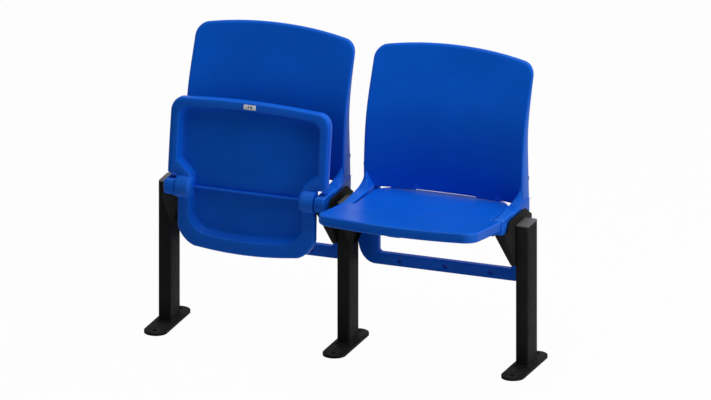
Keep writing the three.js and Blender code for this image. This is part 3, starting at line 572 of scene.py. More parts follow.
def shade(colour, factor):
    return tuple(min(1.0, channel * factor) for channel in colour)


def moulded_plastic(name, colour):
    """Moulded plastic: faint flow clouding, a fine grained skin, and sharp edges lightened by a painted
    highlight.
    """
    look = Look(name)
    clouds = look.remap(look.noise(9, 3), 0.3, 0.7)
    body = look.blend(clouds, shade(colour, 0.94), shade(colour, 1.05))
    specks = look.remap(look.noise(700), 0.62, 0.78, 0, 0.35)
    body = look.blend(specks, body, shade(colour, 0.8))
    # Painted highlight: sharp edges, found by pointiness, are mixed towards a pale lit blue
    painted_edge_highlight = look.remap(look.edges(), 0.51, 0.56, 0, 0.35)
    body = look.blend(painted_edge_highlight, body, (0.05, 0.26, 0.95))
    gloss = look.remap(look.noise(40, 4, 0.6), 0.3, 0.7, 0.34, 0.42)
    look.bumps((look.noise(1500), 0.00003), (look.noise(26), 0.0004))
    return look.dress(body, gloss, Specular_IOR_Level=0.05)


def powder_coat(name, colour):
    """Powder coat: an orange-peel skin over the steel, a little dust and worn edges."""
    look = Look(name)
    dust = look.remap(look.noise(14, 5, 0.65), 0.45, 0.75, 0, 0.5)
    body = look.blend(dust, colour, tuple(c * 1.6 + 0.002 for c in colour))
    worn = look.remap(look.edges(), 0.54, 0.66, 0, 0.4)
    body = look.blend(worn, body, (0.05, 0.05, 0.048))
    gloss = look.remap(look.noise(60, 3), 0.3, 0.7, 0.46, 0.58)
    look.bumps((look.noise(420), 0.00008), (look.noise(1900, 1), 0.00003))
    return look.dress(body, gloss, Specular_IOR_Level=0.012)


def grained_plastic(name, colour):
    """Black injection-moulded plastic with a coarse spark-eroded grain."""
    look = Look(name)
    grain = look.noise(1100)
    body = look.blend(look.remap(grain, 0.35, 0.65), shade(colour, 0.85), shade(colour, 1.2))
    gloss = look.remap(look.noise(90, 3), 0.3, 0.7, 0.5, 0.62)
    look.bumps((grain, 0.0001))
    return look.dress(body, gloss)


def zinc_plate(name, colour):
    """Zinc plating: bright steel with a faint spangle and turned marks."""
    look = Look(name)
    spangle = look.add("TexVoronoi", Vector=look.place(), Scale=420)
    tone = look.remap(spangle.outputs["Distance"], 0, 0.8)
    body = look.blend(tone, shade(colour, 0.85), shade(colour, 1.15))
    gloss = look.remap(look.noise(900, 3), 0.3, 0.7, 0.28, 0.42)
    look.bumps((look.noise(1400, stretch=(1, 6, 6)), 0.00004))
    return look.dress(body, gloss, Metallic=1.0)


def label_plastic(name, colour):
    """White engraved-stock plastic, slightly yellowed in patches and finely scratched."""
    look = Look(name)
    patches = look.remap(look.noise(120, 4), 0.35, 0.7)
    body = look.blend(patches, colour, shade(colour, 0.93))
    scratches = look.remap(look.noise(500, stretch=(1, 9, 9)), 0.66, 0.74, 0, 0.4)
    body = look.blend(scratches, body, shade(colour, 0.7))
    gloss = look.remap(patches, 0, 1, 0.42, 0.5)
    look.bumps((look.noise(1600), 0.00002))
    return look.dress(body, gloss)


def pale_floor(name, colour):
    """A matt floor that the camera sees nearly white, with the row's shadow left on it."""
    look = Look(name)
    tone = look.remap(look.noise(3, 3), 0.3, 0.7)
    look.dress(look.blend(tone, colour, shade(colour, 0.99)), 0.9)
    glow = look.add("Emission", Color=WHITE, Strength=1.0)
    share = look.maths("MULTIPLY", look.seen_or_mirrored(), FLOOR_GLOW)
    look.fill(look.nodes["Material Output"], Surface=look.either_shader(share, look.shader, glow))
    return look.material


# The material, the maker and the colour of every finish
FINISHES = {
    "blue_plastic": ("seat_blue_plastic", moulded_plastic, "plastic"),
    "black_paint": ("frame_black_paint", powder_coat, "paint"),
    "black_plastic": ("fitting_black_plastic", grained_plastic, "fittings"),
    "zinc_steel": ("fitting_zinc_steel", zinc_plate, "steel"),
    "white_plastic": ("plate_white_plastic", label_plastic, "plate"),
    "digit_ink": ("plate_digit_ink", grained_plastic, "digits"),
    "floor": ("pale_floor", pale_floor, "floor"),
}


def finish(look):
    """The material of a finish, made when it is first needed."""
    name, maker, colour = FINISHES[look]
    return bpy.data.materials.get(name) or maker(name, getattr(bpy.context.scene.seat_row_colours, colour))


# The curved forms


def smooth_table(*rows):
    """A smooth curve through the rows of a table."""
    at, value = zip(*rows)
    last = len(at) - 1

    def curve(place):
        i = next((i for i in range(1, last) if place < at[i]), last)
        a, b = at[i - 1], at[i]
        before, at_before = (i - 2, at[i - 2]) if i > 1 else (i, b)
        after, at_after = (i + 1, at[i + 1]) if i < last else (i - 1, a)
        half = (b - a) / 2
        w_before, w_after = half / (a - at_before), half / (at_after - b)
        p = (place - a) / (b - a)
        return (
            (-w_before * p**3 + 2 * w_before * p**2 - w_before * p) * value[before]
            + ((1 + w_before) * p**3 + (-1.5 - 2 * w_before) * p**2 + (-0.5 + w_before) * p + 1) * value[i - 1]
            + ((-1 - w_after) * p**3 + (1.5 + w_after) * p**2 + 0.5 * p) * value[i]
            + (w_after * p**3 - w_after * p**2) * value[after])

    return curve


# The back panel against shares of its height: shares of its rake, and of its wall depth
middle_line = smooth_table((0, 0.236), (0.18, 0.217), (0.52, 0.358), (0.85, 0.802), (1, 1))
side_line = smooth_table((0, 0.009), (0.18, 0), (0.52, 0.17), (0.85, 0.67), (1, 0.925))
wall_line = smooth_table((0, 1), (0.18, 0.94), (0.52, 0.54), (0.85, 0.21), (1, 0.18))


def back_depth(sizes, x, z):
    """Depth of the panel's front surface at a place in its front view."""
    share = (z - HINGE_Z - sizes.slit_rise) / sizes.back_height
    share = max(-0.15, min(1.15, share))
    wrap = min(abs(x) / (sizes.back_width / 2), 1.15) ** 2.6
    rake = middle_line(share) + (side_line(share) - middle_line(share)) * wrap
    return HINGE_Y + sizes.back_setback + sizes.back_rake * rake


def pan_top(x, forward):
    """Height of a pan's top over its hinge line, in the pan's own frame."""
    lowest, front_reach, rear_reach, side_reach = 0.025, 0.2185, 0.19, 0.22
    level, rise, hollow = 0.0193, 0.0115, 0.0055
    along = min(abs(forward - lowest) / (front_reach if forward > lowest else rear_reach), 1.1)
    across = min(abs(x) / side_reach, 1.1)
    return level + rise * along**1.6 - hollow * (1 - across * across)


def pan_turns(sizes):
    """The left pan is tipped up, the right one lowered."""
    return -sizes.pan_slope - math.pi / 2, -sizes.pan_slope


# The pieces


class SEATROW_OT_back_panels(Operator):
    """Model the two back panels: a raked, dished skin with rolled edges, side walls and stop tabs"""
    bl_idname = "seatrow.back_panels"
    bl_label = "Back panels"

    def execute(self, context):
        sizes = context.scene.seat_row_sizes
        roll, roll_steps, rim = 0.005, 5, 0.001
        half = sizes.back_width / 2
        bottom = HINGE_Z + sizes.slit_rise
        upper = bottom + 0.1
        crown_foot = CROWN_SHARE * half
        slope = 2 * sizes.back_crown / crown_foot
        shoulder = bottom + sizes.back_height - sizes.back_crown - slope * (half - crown_foot)
        flat_half, flat_top = half - roll, shoulder - roll
        flat_height = flat_top - bottom
        sliver, margin, cage_low, cage_high = 0.0006, 0.05, -0.02, 0.07

        # The front view as a flat sheet, drawn in by the rolled edge
        panel = sheet(
            "back_panel", (2 * flat_half, 1, flat_height), (0, 0, (flat_top + bottom) / 2), math.pi / 2)
        pick(panel, lambda v: v.co.z > upper)
        round_corners(sizes.back_corner - roll, 10)
        pick_between(panel, lambda v: v.co.z > flat_top - NEAR)
        bpy.ops.mesh.subdivide(number_cuts=36)

        # Its top edge, crowned
        for x in apart(abs(x) for x in places(panel, X, lambda v: v.co.z > upper)):
            share = min(x / crown_foot, 1)
            pick(panel, lambda v: v.co.z > upper and near(abs(v.co.x), x))
            shift(z=slope * (half - max(x, crown_foot)) + sizes.back_crown * (1 - share**2))

        # A net of cuts, so that the sheet can bend, with one at each side of the tabs
        slice_at(panel, X, (-TAB_INNER, -TAB_OUTER, TAB_INNER, TAB_OUTER))
        slice_at(panel, X, steps_between(-flat_half, flat_half, 40))
        slice_at(panel, Z, steps_between(bottom, bottom + sizes.back_height, 36))
        pick_all()
        bpy.ops.mesh.remove_doubles(threshold=sliver)

        # The edge rolled back in a quarter round
        pick(panel, lambda e: e.is_boundary and any(v.co.z >= bottom + NEAR for v in e.verts), "EDGE")
        last_out, last_back = 0.0, 0.0
        for i in range(1, roll_steps + 1):
            angle = math.pi / 2 * i / roll_steps
            out, back = roll * math.sin(angle), roll * (1 - math.cos(angle))
            pull_edges(y=back - last_back)
            grow((flat_half + out) / (flat_half + last_out), 1,
                 (flat_height + out) / (flat_height + last_out), about=(0, 0, bottom))
            last_out, last_back = out, back

        # The walls behind it
        pull_edges(y=rim)
        rear = roll + rim
        for z in places(panel, Z, lambda v: v.co.y > rear - NEAR):
            share = min(max((z - bottom) / sizes.back_height, 0), 1)
            pick(panel, lambda v: rear - NEAR < v.co.y < rear + CLOSE and near(v.co.z, z))
            shift(y=sizes.wall_depth * wall_line(share) - rear)

        # Stop tabs under the lower edge
        pick_between(panel, lambda v: TAB_INNER - CLOSE < abs(v.co.x) < TAB_OUTER + CLOSE
                     and near(v.co.z, bottom) and v.co.y < NEAR)
        pull_edges(z=TAB_LOW - bottom)
        let_go()

        # The rake and the dish, then the thickness and soft rims
        bend(panel, (-half - margin, cage_low, bottom - margin), (half + margin, cage_high, BACK_TOP + margin),
             (19, 2, 17), lambda place: back_depth(sizes, place.x, place.z), Y)
        thicken(panel, sizes.back_wall)
        soften_edges(panel, 0.0011, 2, 50)
        smooth_over(panel)
        at_seats(panel, "{seat}_back_panel", "blue_plastic", "{seat}_back")
        return {"FINISHED"}


class SEATROW_OT_arms(Operator):
    """Model the four arms: a round hinge boss, a level top and a sweep up into the side wall"""
    bl_idname = "seatrow.arms"
    bl_label = "Arms"

    def execute(self, context):
        sizes = context.scene.seat_row_sizes
        outer, inner = sizes.arm_outer, sizes.arm_outer - sizes.arm_width
        half, boss = sizes.back_width / 2, sizes.arm_boss
        bottom, top = BRACKET_TOP + FIT, HINGE_Z + ARM_RISE
        front = back_depth(sizes, half, HINGE_Z + sizes.slit_rise)
        rear = front + sizes.wall_depth
        start = math.pi - math.asin(ARM_RISE / boss)
        end = -math.asin((HINGE_Z - bottom) / boss)
        slack = 0.02
        shave, wall, tuck, tuck_height = 0.0055, 0.0045, 0.0015, 0.03
        bore_radius, bore_depth, past = 0.0093, 0.0036, 0.0164

        # The side view: a circle opened behind, and drawn on to the wall
        let_go()
        bpy.ops.mesh.primitive_circle_add(
            vertices=64, radius=boss, location=(0, HINGE_Y, HINGE_Z), rotation=(math.pi / 2, 0, math.pi / 2))
        arm = open_new("arm")
        pick(arm, lambda v: end - slack < math.atan2(v.co.z - HINGE_Z, v.co.y - HINGE_Y) < start + slack)
        bpy.ops.mesh.delete(type="VERT")
        uppermost = places(arm, Z)[-1]
        pick(arm, lambda v: v.co.z > uppermost - NEAR)
        here = next(v.co.copy() for v in bmesh.from_edit_mesh(arm.data).verts if v.select)
        shares = [i / FLARE_STEPS for i in range(FLARE_STEPS + 1)]
        levels = [top + FLARE_HEIGHT * share**2 for share in shares]
        path = [(HINGE_Y + boss * math.cos(start), top)]
        path += [(front - FLARE_LENGTH * (1 - share) ** 2, level) for share, level in zip(shares, levels)]
        path += [(rear, levels[-1]), (rear, bottom), (HINGE_Y + boss * math.cos(end), bottom)]
        for y, z in path:
            push_out(y=y - here.y, z=z - here.z)
            here = Vector((0, y, z))
        pick_all()
        bpy.ops.mesh.edge_face_add()
        shift(x=inner)
        push_out(x=outer - inner)

        # Drawn in to the wall's thickness as it rises
        slice_at(arm, Z, levels[:-1])
        for level in levels[1:]:
            rise = (level - top) / FLARE_HEIGHT
            pick(arm, lambda v: near(v.co.z, level, 2 * NEAR) and v.co.x > outer - CLOSE)
            shift(x=-shave * (1 - (1 - min(rise * 2, 1)) ** 2))
            pick(arm, lambda v: near(v.co.z, level, 2 * NEAR) and v.co.x < inner + CLOSE)
            shift(x=(half - wall - inner) * (1 - (1 - rise) ** 1.7))

        # Its upper front edge, tucked in behind the panel
        pick(arm, lambda v: v.co.z > levels[-1] - tuck_height and v.co.y < front + 10 * CLOSE)
        shift(y=tuck)
        tidy_faces(arm)
        soften_edges(arm, 0.005, 5, 60, clamp=False)
        smooth_over(arm, 50)

        # The bore that the pin's cover lies in
        spot = (0, HINGE_Y, HINGE_Z)
        remove_from(arm, rod("arm_bore", bore_radius, outer - bore_depth, outer + past, X, spot))
        at_sides(arm, "{seat}_arm_{hand}", "blue_plastic", "{seat}_back", smooth=50)
        return {"FINISHED"}


class SEATROW_OT_lower_frames(Operator):
    """Model the two lower frames: side members and a rail in one U, hollow behind, with sunk screw holes"""
    bl_idname = "seatrow.lower_frames"
    bl_label = "Lower frames"

    def execute(self, context):
        sizes = context.scene.seat_row_sizes
        half, inner, neck = PITCH / 2 - 0.007, 0.186, 0.2047
        low, top = HINGE_Z - 0.2035, HINGE_Z + sizes.slit_rise + 0.006
        rail = low + sizes.rail_height
        front, rear, skin = HINGE_Y + 0.1415, HINGE_Y + 0.1605, 0.004
        corner, window_corner, notch_corner, squash = 0.048, 0.008, 0.006, 0.75
        screws, boss_radius, boss_inset = (-0.128, 0, 0.128), 0.010, 0.002
        notch = max(v.co.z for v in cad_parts["right_back"].data.vertices
                    if v.co.x - PITCH / 2 > half - 0.012 and v.co.z < BRACKET_TOP)

        # The front view: a plate whose lower corners are rounded higher than wide, a window and two notches
        lower = sheet("lower_frame", (2 * half, 1, top - low), (0, front, (top + low) / 2), math.pi / 2)
        grow(1, 1, squash, about=(0, 0, low))
        pick(lower, lambda v: v.co.z < low + NEAR)
        round_corners(corner, 14)
        pick_all()
        grow(1, 1, 1 / squash, about=(0, 0, low))
        slice_at(lower, X, (-neck, -inner, inner, neck))
        slice_at(lower, Z, (rail,), lambda f: abs(middle_of(f).x) < inner)
        slice_at(lower, Z, (notch,), lambda f: abs(middle_of(f).x) > neck)
        pick(lower, lambda f: (abs(middle_of(f).x) < inner and middle_of(f).z > rail)
             or (abs(middle_of(f).x) > neck and middle_of(f).z > notch), "FACE")
        bpy.ops.mesh.delete(type="FACE")
        pick_all()
        bpy.ops.mesh.dissolve_limited(angle_limit=math.radians(0.5))
        pick(lower, lambda v: near(abs(v.co.x), inner) and near(v.co.z, rail))
        round_corners(window_corner, 6)
        pick(lower, lambda v: near(v.co.z, notch))
        round_corners(notch_corner, 5)

        # Its depth, and the hollow behind
        pick_all()
        push_out(y=rear - front)
        tidy_faces(lower)
        open_up(lower)
        pick_facing(lower, Y, 1)
        bpy.ops.mesh.inset(thickness=skin)
        push_out(y=front + skin - rear)
        tidy_faces(lower)
        soften_edges(lower, 0.0022, 3, 40)

        # Screw bosses behind the rail, with sunk holes through them
        spots = [(x, 0, (low + rail) / 2) for x in screws]
        bosses = [rod("screw_boss", boss_radius, front + boss_inset, rear, Y, spot) for spot in spots]
        add_to(lower, join(*bosses))
        remove_from(lower, join(*(self.screw_hole(front, rear, spot) for spot in spots)))
        smooth_over(lower, 35)
        at_seats(lower, "{seat}_lower_frame", "blue_plastic", "{seat}_back")
        return {"FINISHED"}

    def screw_hole(self, front, rear, spot):
        """The cutter of a sunk hole with a broken edge and a narrower way through."""
        radius, narrow, sunk, broken, flare, past = 0.0065, 0.0032, 0.005, 0.0008, 1.16, 0.0004
        hole = rod("screw_hole", radius, front, rear, Y, spot)
        pick_facing(hole, Y, 1)
        shift(y=front + sunk - rear)
        bpy.ops.mesh.inset(thickness=radius - narrow)
        push_out(y=rear - front)
        pick_facing(hole, Y, -1)
        shift(y=broken)
        push_out(y=-broken - past)
        grow(flare, 1, flare, about=spot)
        push_out(y=-5 * past)
        return hole


class SEATROW_OT_seat_pans(Operator):
    """Model the two tip-up pans: a dished top, a rim with a rounded crest, hinge bosses and a cross rib"""
    bl_idname = "seatrow.seat_pans"
    bl_label = "Seat pans"

    def execute(self, context):
        sizes = context.scene.seat_row_sizes
        half, rear_half = sizes.pan_half, sizes.pan_rear_half
        nose, tail, shoulder = -sizes.pan_front, sizes.pan_rear, -0.0315
        front_bow, rear_bow = 0.008, 0.009
        nose_side, tail_side = nose + front_bow, tail - rear_bow
        front_foot, rear_foot = 0.178, 0.136
        front_corner, rear_corner, shoulder_corner = 0.037, 0.049, 0.006
        rib_length, rib_width, rib_height, rib_level = 0.324, 0.005, 0.0135, -0.01025

        # The plan: a wide front with a narrower rear drawn out of it, its corners rounded
        pan = sheet("seat_pan", (2 * half, shoulder - nose_side, 1), (0, (shoulder + nose_side) / 2, -PAN_EDGE))
        slice_at(pan, X, (-rear_half, rear_half))
        pick_between(pan, lambda v: v.co.y > shoulder - NEAR and abs(v.co.x) < rear_half + NEAR)
        pull_edges(y=tail_side - shoulder)
        pick_all()
        bpy.ops.mesh.dissolve_faces()
        pick(pan, lambda v: v.co.y > tail_side - NEAR)
        round_corners(rear_corner, 14, profile=0.41)
        pick(pan, lambda v: v.co.y < nose_side + NEAR and abs(v.co.x) > half - NEAR)
        round_corners(front_corner, 12)
        pick(pan, lambda v: near(v.co.y, shoulder))
        round_corners(shoulder_corner, 4)
        pick_all()
        bpy.ops.mesh.dissolve_limited(angle_limit=math.radians(0.2))
        for on_line, cuts in (
                (lambda v: v.co.y < nose_side + NEAR, 32), (lambda v: v.co.y > tail_side - NEAR, 26),
                (lambda v: abs(v.co.x) > half - NEAR, 14), (lambda v: near(abs(v.co.x), rear_half), 11)):
            pick(pan, lambda e: all(on_line(v) for v in e.verts) and e.calc_length() > 0.05, "EDGE")
            bpy.ops.mesh.subdivide(number_cuts=cuts)

        # Its front and rear edges, bowed between their feet
        for zone, foot, bow in (
                (lambda v: v.co.y < -0.19, front_foot, -front_bow),
                (lambda v: v.co.y > 0.1, rear_foot, rear_bow)):
            for x in apart(abs(x) for x in places(pan, X, zone)):
                share = x / foot
                pick(pan, lambda v: zone(v) and near(abs(v.co.x), x))
                shift(y=bow * (1 - share ** (2 if share < 1 else 1)))

        # Rings drawn up over the edge and down round the rim
        def ring(before, after):
            """Draws what is selected on from one ring to the next."""
            width_share = (half - after[0]) / (half - before[0])
            lengths = [(tail - nose - r[1] - r[2]) / (tail - nose) for r in (before, after)]
            feet = [nose + r[1] - nose * part for r, part in zip((before, after), lengths)]
            length_share = lengths[1] / lengths[0]
            push_out(z=before[3] - after[3])
            if not near(length_share, 1, 1e-9):
                centre = (feet[1] - length_share * feet[0]) / (1 - length_share)
                grow(width_share, length_share, 1, about=(0, centre, 0))

        def pick_cap(depth):
            pick(pan, lambda f: f.normal.z < -0.99 and near(middle_of(f).z, -depth)
                 and f.calc_area() > 0.002, "FACE")

        start = (0, 0, 0, PAN_EDGE)
        pick_all()
        for before, after in zip((start, *OVER), OVER):
            ring(before, after)
        tidy_faces(pan)
        open_up(pan)
        pick_cap(PAN_EDGE)
        for i, (before, after) in enumerate(zip((start, *UNDER), UNDER)):
            ring(before, after)
            if i == CREST:
                self.draw_jog(pan)
                pick_cap(after[3])

        # A net of cuts over the top and the recess, so that they can bend
        def on_top_or_recess(face):
            return abs(face.normal.z) > 0.99 and (
                middle_of(face).z > -NEAR or near(middle_of(face).z, -UNDER[-1][3]))

        slice_at(pan, X, steps_between(-half, half, 40), on_top_or_recess)
        slice_at(pan, Y, steps_between(nose, tail, 38), on_top_or_recess)

        # The cross rib, then the dish
        rib = box("cross_rib", (rib_length, rib_width, rib_height), (0, 0, rib_level))
        slice_at(rib, X, steps_between(-rib_length / 2, rib_length / 2, 24))
        soften_edges(rib, 0.0014, 3, 50)
        join(pan, rib)
        bend(pan, (-0.26, -0.285, -0.03), (0.26, 0.205, 0.002), (21, 21, 2),
             lambda place: pan_top(place.x, -place.y), Z)
        smooth_over(pan, 38)
        for side in (-1, 1):
            join(pan, self.boss(side))
        at_seats(pan, "{seat}_pan", "blue_plastic", "{seat}_seat_pan", *pan_turns(sizes),
                 body="{seat}_seat", place=(HINGE_Y, HINGE_Z))
        return {"FINISHED"}

    def draw_jog(self, pan):
        """Draws the rim's inner line inwards beside the bosses: the shoulder becomes a slanting step."""
        mesh = bmesh.from_edit_mesh(pan.data)
        run = [v for v in mesh.verts if v.select]
        wide = round(max(abs(v.co.x) for v in run), 4)
        narrow = max(abs(v.co.x) for v in run if v.co.y > 0)
        # In front of the hinge line: the shoulder's inner line and the end of its round
        step, step_end = 0.0424, 0.0489
        new_narrow, new_rear, new_front, side_end = 0.160, 0.033, 0.072, 0.170

        def new_place(x, forward):
            """The new distances from the pan's middle line and forward of its hinge line."""
            if forward > side_end or x < narrow - 0.03 and forward > step:
                return x, forward
            if forward < step_end and narrow + CLOSE < x < wide - CLOSE:
                share = (x - narrow) / (wide - narrow)
                return new_narrow + (wide - new_narrow) * share, new_rear + (new_front - new_rear) * share
            if x > wide - CLOSE and forward >= step:
                share = (forward - step) / (side_end - step)
                return x, new_front + (side_end - new_front) * share
            if forward <= step_end:
                return x * new_narrow / narrow, forward * (1 if forward < 0 else new_rear / step)
            return x, forward

        for v in run:
            x, forward = new_place(abs(v.co.x), -v.co.y)
            v.co.x, v.co.y = math.copysign(x, v.co.x), -forward
        bmesh.update_edit_mesh(pan.data)

    def boss(self, side):
        """A hinge boss cut off under the pan's top, narrower at its inner end, with a bore for the bush."""
        radius, middle, half, top = 0.031, side * 0.1765, 0.0165, 0.0147
        inner_end, inner_share = 0.010, 0.74
        bore_radius, bore_middle, bore_half = 0.0088, side * 0.184, 0.02
        boss = rod("pan_boss", radius, middle - half, middle + half, sides=56)
        cut_away((0, 0, top), (0, 0, 1))
        pick_facing(boss, X, -side)
        push_out(x=-side * inner_end)
        grow(1, inner_share, inner_share)
        soften_edges(boss, 0.0028, 4, 40)
        remove_from(boss, rod("boss_bore", bore_radius, bore_middle - bore_half, bore_middle + bore_half))
        smooth_over(boss, 35)
        return boss


class SEATROW_OT_posts(Operator):
    """Model the three posts: a steel tube with rounded corners and a weld bead round its foot"""
    bl_idname = "seatrow.posts"
    bl_label = "Posts"

    def execute(self, context):
        post = box("post", (POST_WIDTH, POST_DEPTH, POST_TOP - POST_FOOT),
                   (0, POST_Y, (POST_FOOT + POST_TOP) / 2))
        pick_along(post, Z, 0.1)
        round_edges(TUBE_CORNER, 7)
        pick(post, lambda f: abs(f.normal.z) > 0.9, "FACE")
        bpy.ops.mesh.delete(type="ONLY_FACE")
        thicken(post, TUBE_WALL, even=False)
        soften_edges(post, 0.0004, 2, 60)
        smooth_over(post)
        at_posts(post, "tube", "black_paint", "post")
        at_posts(self.weld_bead(), "weld_bead", "black_paint", "post")
        return {"FINISHED"}

    def weld_bead(self):
        """A rounded fillet in the corner of post and plate, a little uneven as a hand weld is."""
        foot, half_width, half_depth = (0, POST_Y, POST_FOOT), POST_WIDTH / 2, POST_DEPTH / 2
        reach, height = -0.0005, 0.0045
        bead = sheet("weld_bead", (POST_WIDTH + 2 * reach, POST_DEPTH + 2 * reach, 1), foot)
        round_corners(0.0038, 5)
        pick(bead, lambda e: e.calc_length() > 0.01, "EDGE")
        bpy.ops.mesh.subdivide(number_cuts=14)
        pick(bead, lambda f: True, "FACE")
        bpy.ops.mesh.delete(type="ONLY_FACE")
        pick_all()
        shift(z=height)
        for out, up in ((0.0008, 0.0044), (0.0022, 0.0037), (0.0035, 0.0024), (0.0043, 0.0009), (0.0045, 0.0),
                        (-0.0005, 0.0)):
            pull_edges(z=up - height)
            grow((half_width + out) / (half_width + reach), (half_depth + out) / (half_depth + reach), 1,
                 about=foot)
            reach, height = out, up
        pick(bead, lambda e: e.is_boundary, "EDGE")
        bpy.ops.mesh.bridge_edge_loops()
        pick(bead, lambda v: v.co.z > POST_FOOT + 0.0005)
        bpy.ops.transform.vertex_random(offset=0.0003, uniform=0, normal=1, seed=5)
        tidy_faces(bead)
        smooth_over(bead, 60)
        return bead


class SEATROW_OT_post_caps(Operator):
    """Model the three post caps: a flat lid with rounded edges and a hollow plug in the tube"""
    bl_idname = "seatrow.post_caps"
    bl_label = "Post caps"

    def execute(self, context):
        thick, plug, lid_edge, plug_wall = 0.003, 0.012, 0.0029, 0.0022
        cap = box("post_cap", (POST_WIDTH, POST_DEPTH, thick), (0, POST_Y, POST_TOP + FIT + thick / 2))
        pick_along(cap, Z, thick / 2)
        round_edges(TUBE_CORNER, 7)
        pick_facing(cap, Z, -1)
        for inset, depth in ((lid_edge, -plug), (plug_wall, plug)):
            bpy.ops.mesh.inset(thickness=inset)
            push_out(z=depth)
        soften_edges(cap, 0.0008, 4, 60)
        smooth_over(cap)
        at_posts(cap, "cap", "black_plastic", "post_cap")
        return {"FINISHED"}


class SEATROW_OT_foot_plates(Operator):
    """Model the three foot plates: a long plate with round ends and an anchor hole at each end"""
    bl_idname = "seatrow.foot_plates"
    bl_label = "Foot plates"

    def execute(self, context):
        sizes = context.scene.seat_row_sizes
        radius, thick, sides = sizes.foot_width / 2, sizes.foot_thickness, 72
        stretch = sizes.foot_length / 2 - radius
        hole_radius, hole_inset, past = 0.0065, 0.022, 0.01
        plate = rod("foot_plate", radius, 0, thick, Z, sides=sides, spin=math.pi / sides)
        for side in (-1, 1):
            pick(plate, lambda v: v.co.y * side > 0)
            shift(y=side * stretch)
        for side in (-1, 1):
            spot = (0, side * (stretch + radius - hole_inset), 0)
            remove_from(plate, rod("anchor_hole", hole_radius, -past, thick + past, Z, spot))
        soften_edges(plate, 0.0009, 3, 60)
        smooth_over(plate)
        at_posts(plate, "foot", "black_paint", "foot_plate")
        return {"FINISHED"}


class SEATROW_OT_brackets(Operator):
    """Model the four side brackets: a plate at the post with a tapering lip, and an upright edge by the arm"""
    bl_idname = "seatrow.brackets"
    bl_label = "Side brackets"

    def execute(self, context):
        outer, inner, sheet_metal = BRACKET_OUTER, BRACKET_OUTER - 0.0310, 0.0025
        front, rear = BRACKET_FRONT, BRACKET_FRONT + 0.194
        foot, heel, low = front + 0.068, front + 0.100, BRACKET_TOP - 0.109
        front_lip, rear_lip, taper = 0.007, 0.026, 0.0195
        hole_radius, hole_reach = 0.0033, 0.01
        tray = box("bracket", (outer - inner, rear - front, BRACKET_TOP - low),
                   ((inner + outer) / 2, (front + rear) / 2, (BRACKET_TOP + low) / 2))

        # Its sloping front and rear, and the rounds of the bends
        slopes = ((front, BRACKET_TOP - front_lip), (foot, low)), ((heel, low), (rear, BRACKET_TOP - rear_lip))
        for start, end in slopes:
            cut_away((0, *start), (0, end[1] - start[1], start[0] - end[0]))
        pick(tray, lambda e: abs(e.verts[0].co.x - e.verts[1].co.x) > 0.01
             and e.verts[0].co.y > front + 0.01, "EDGE")
        round_edges(0.0045, 5)
        pick_facing(tray, X, -1)
        bpy.ops.mesh.delete(type="ONLY_FACE")
        pick_between(tray, lambda v: near(v.co.x, outer))
        round_edges(0.0016, 3)

        # The lip, narrower as it goes down
        for z in places(tray, Z, lambda v: v.co.x < inner + CLOSE):
            pick(tray, lambda v: near(v.co.z, z) and v.co.x < inner + CLOSE)
            shift(x=taper * (BRACKET_TOP - z) / (BRACKET_TOP - low))
        thicken(tray, sheet_metal)

        # The upright edge, with slanting ends
        high, setback, rear_setback = BRACKET_TOP + 0.027, 0.012, 0.005
        edge = box("upright_edge",
                   (sheet_metal, rear - front - setback - rear_setback, high - BRACKET_TOP + sheet_metal / 2),
                   (outer - sheet_metal / 2, (front + setback + rear - rear_setback) / 2,
                    (BRACKET_TOP - sheet_metal / 2 + high) / 2))
        for way, run in ((-1, 0.020), (1, -0.040)):
            pick(edge, lambda v: v.co.z > high - NEAR and v.co.y * way > 0)
            shift(y=run)
        pick(edge, lambda e: abs(e.verts[0].co.x - e.verts[1].co.x) > CLOSE
             and all(v.co.z > high - NEAR for v in e.verts), "EDGE")
        round_edges(0.007, 6)
        add_to(tray, edge)
        for backset in BOLT_BACKSETS.values():
            ends, spot = (BRACKET_TOP - hole_reach, BRACKET_TOP + hole_reach), (BOLT_X, HINGE_Y + backset, 0)
            remove_from(tray, rod("bolt_hole", hole_radius, *ends, Z, spot))
        soften_edges(tray, 0.0005, 2, 60)
        smooth_over(tray)
        at_sides(tray, "{seat}_side_bracket_{hand}", "black_paint", "{seat}_bracket_{hand}", smooth=32)
        return {"FINISHED"}


class SEATROW_OT_arm_bolts(Operator):
    """Model the eight bolts that hold the arms down: a chamfered hexagon head and a shank"""
    bl_idname = "seatrow.arm_bolts"
    bl_label = "Arm bolts"

    def execute(self, context):
        level, head, head_radius = BRACKET_TOP - 0.0028, 0.004, 0.0058
        shank_radius, root, tip = 0.003, level - 0.001, level + 0.020
        bolt = rod("arm_bolt", head_radius, level - head, level, Z, sides=6)
        pick_between(bolt, lambda v: v.co.z < level - head / 2)
        round_edges(0.0006, 2)
        pick_facing(bolt, Z, 1)
        bpy.ops.mesh.inset(thickness=0.0005)
        push_out(z=0.0002)
        shank = rod("shank", shank_radius, root, tip, Z, sides=28)
        soften_edges(shank, 0.0005, 2, 60)
        join(bolt, shank)
        smooth_over(bolt)
        for seat, middle in SEATS.items():
            for hand, side in HANDS.items():
                for end, backset in BOLT_BACKSETS.items():
                    place = (middle + side * BOLT_X, HINGE_Y + backset, 0)
                    piece = copy_of(bolt, f"{seat}_bolt_{hand}_{end}", place)
                    hand_over(piece, "frame", "zinc_steel", f"{seat}_arm_bolt_{hand}_{end}")
        drop(bolt)
        return {"FINISHED"}


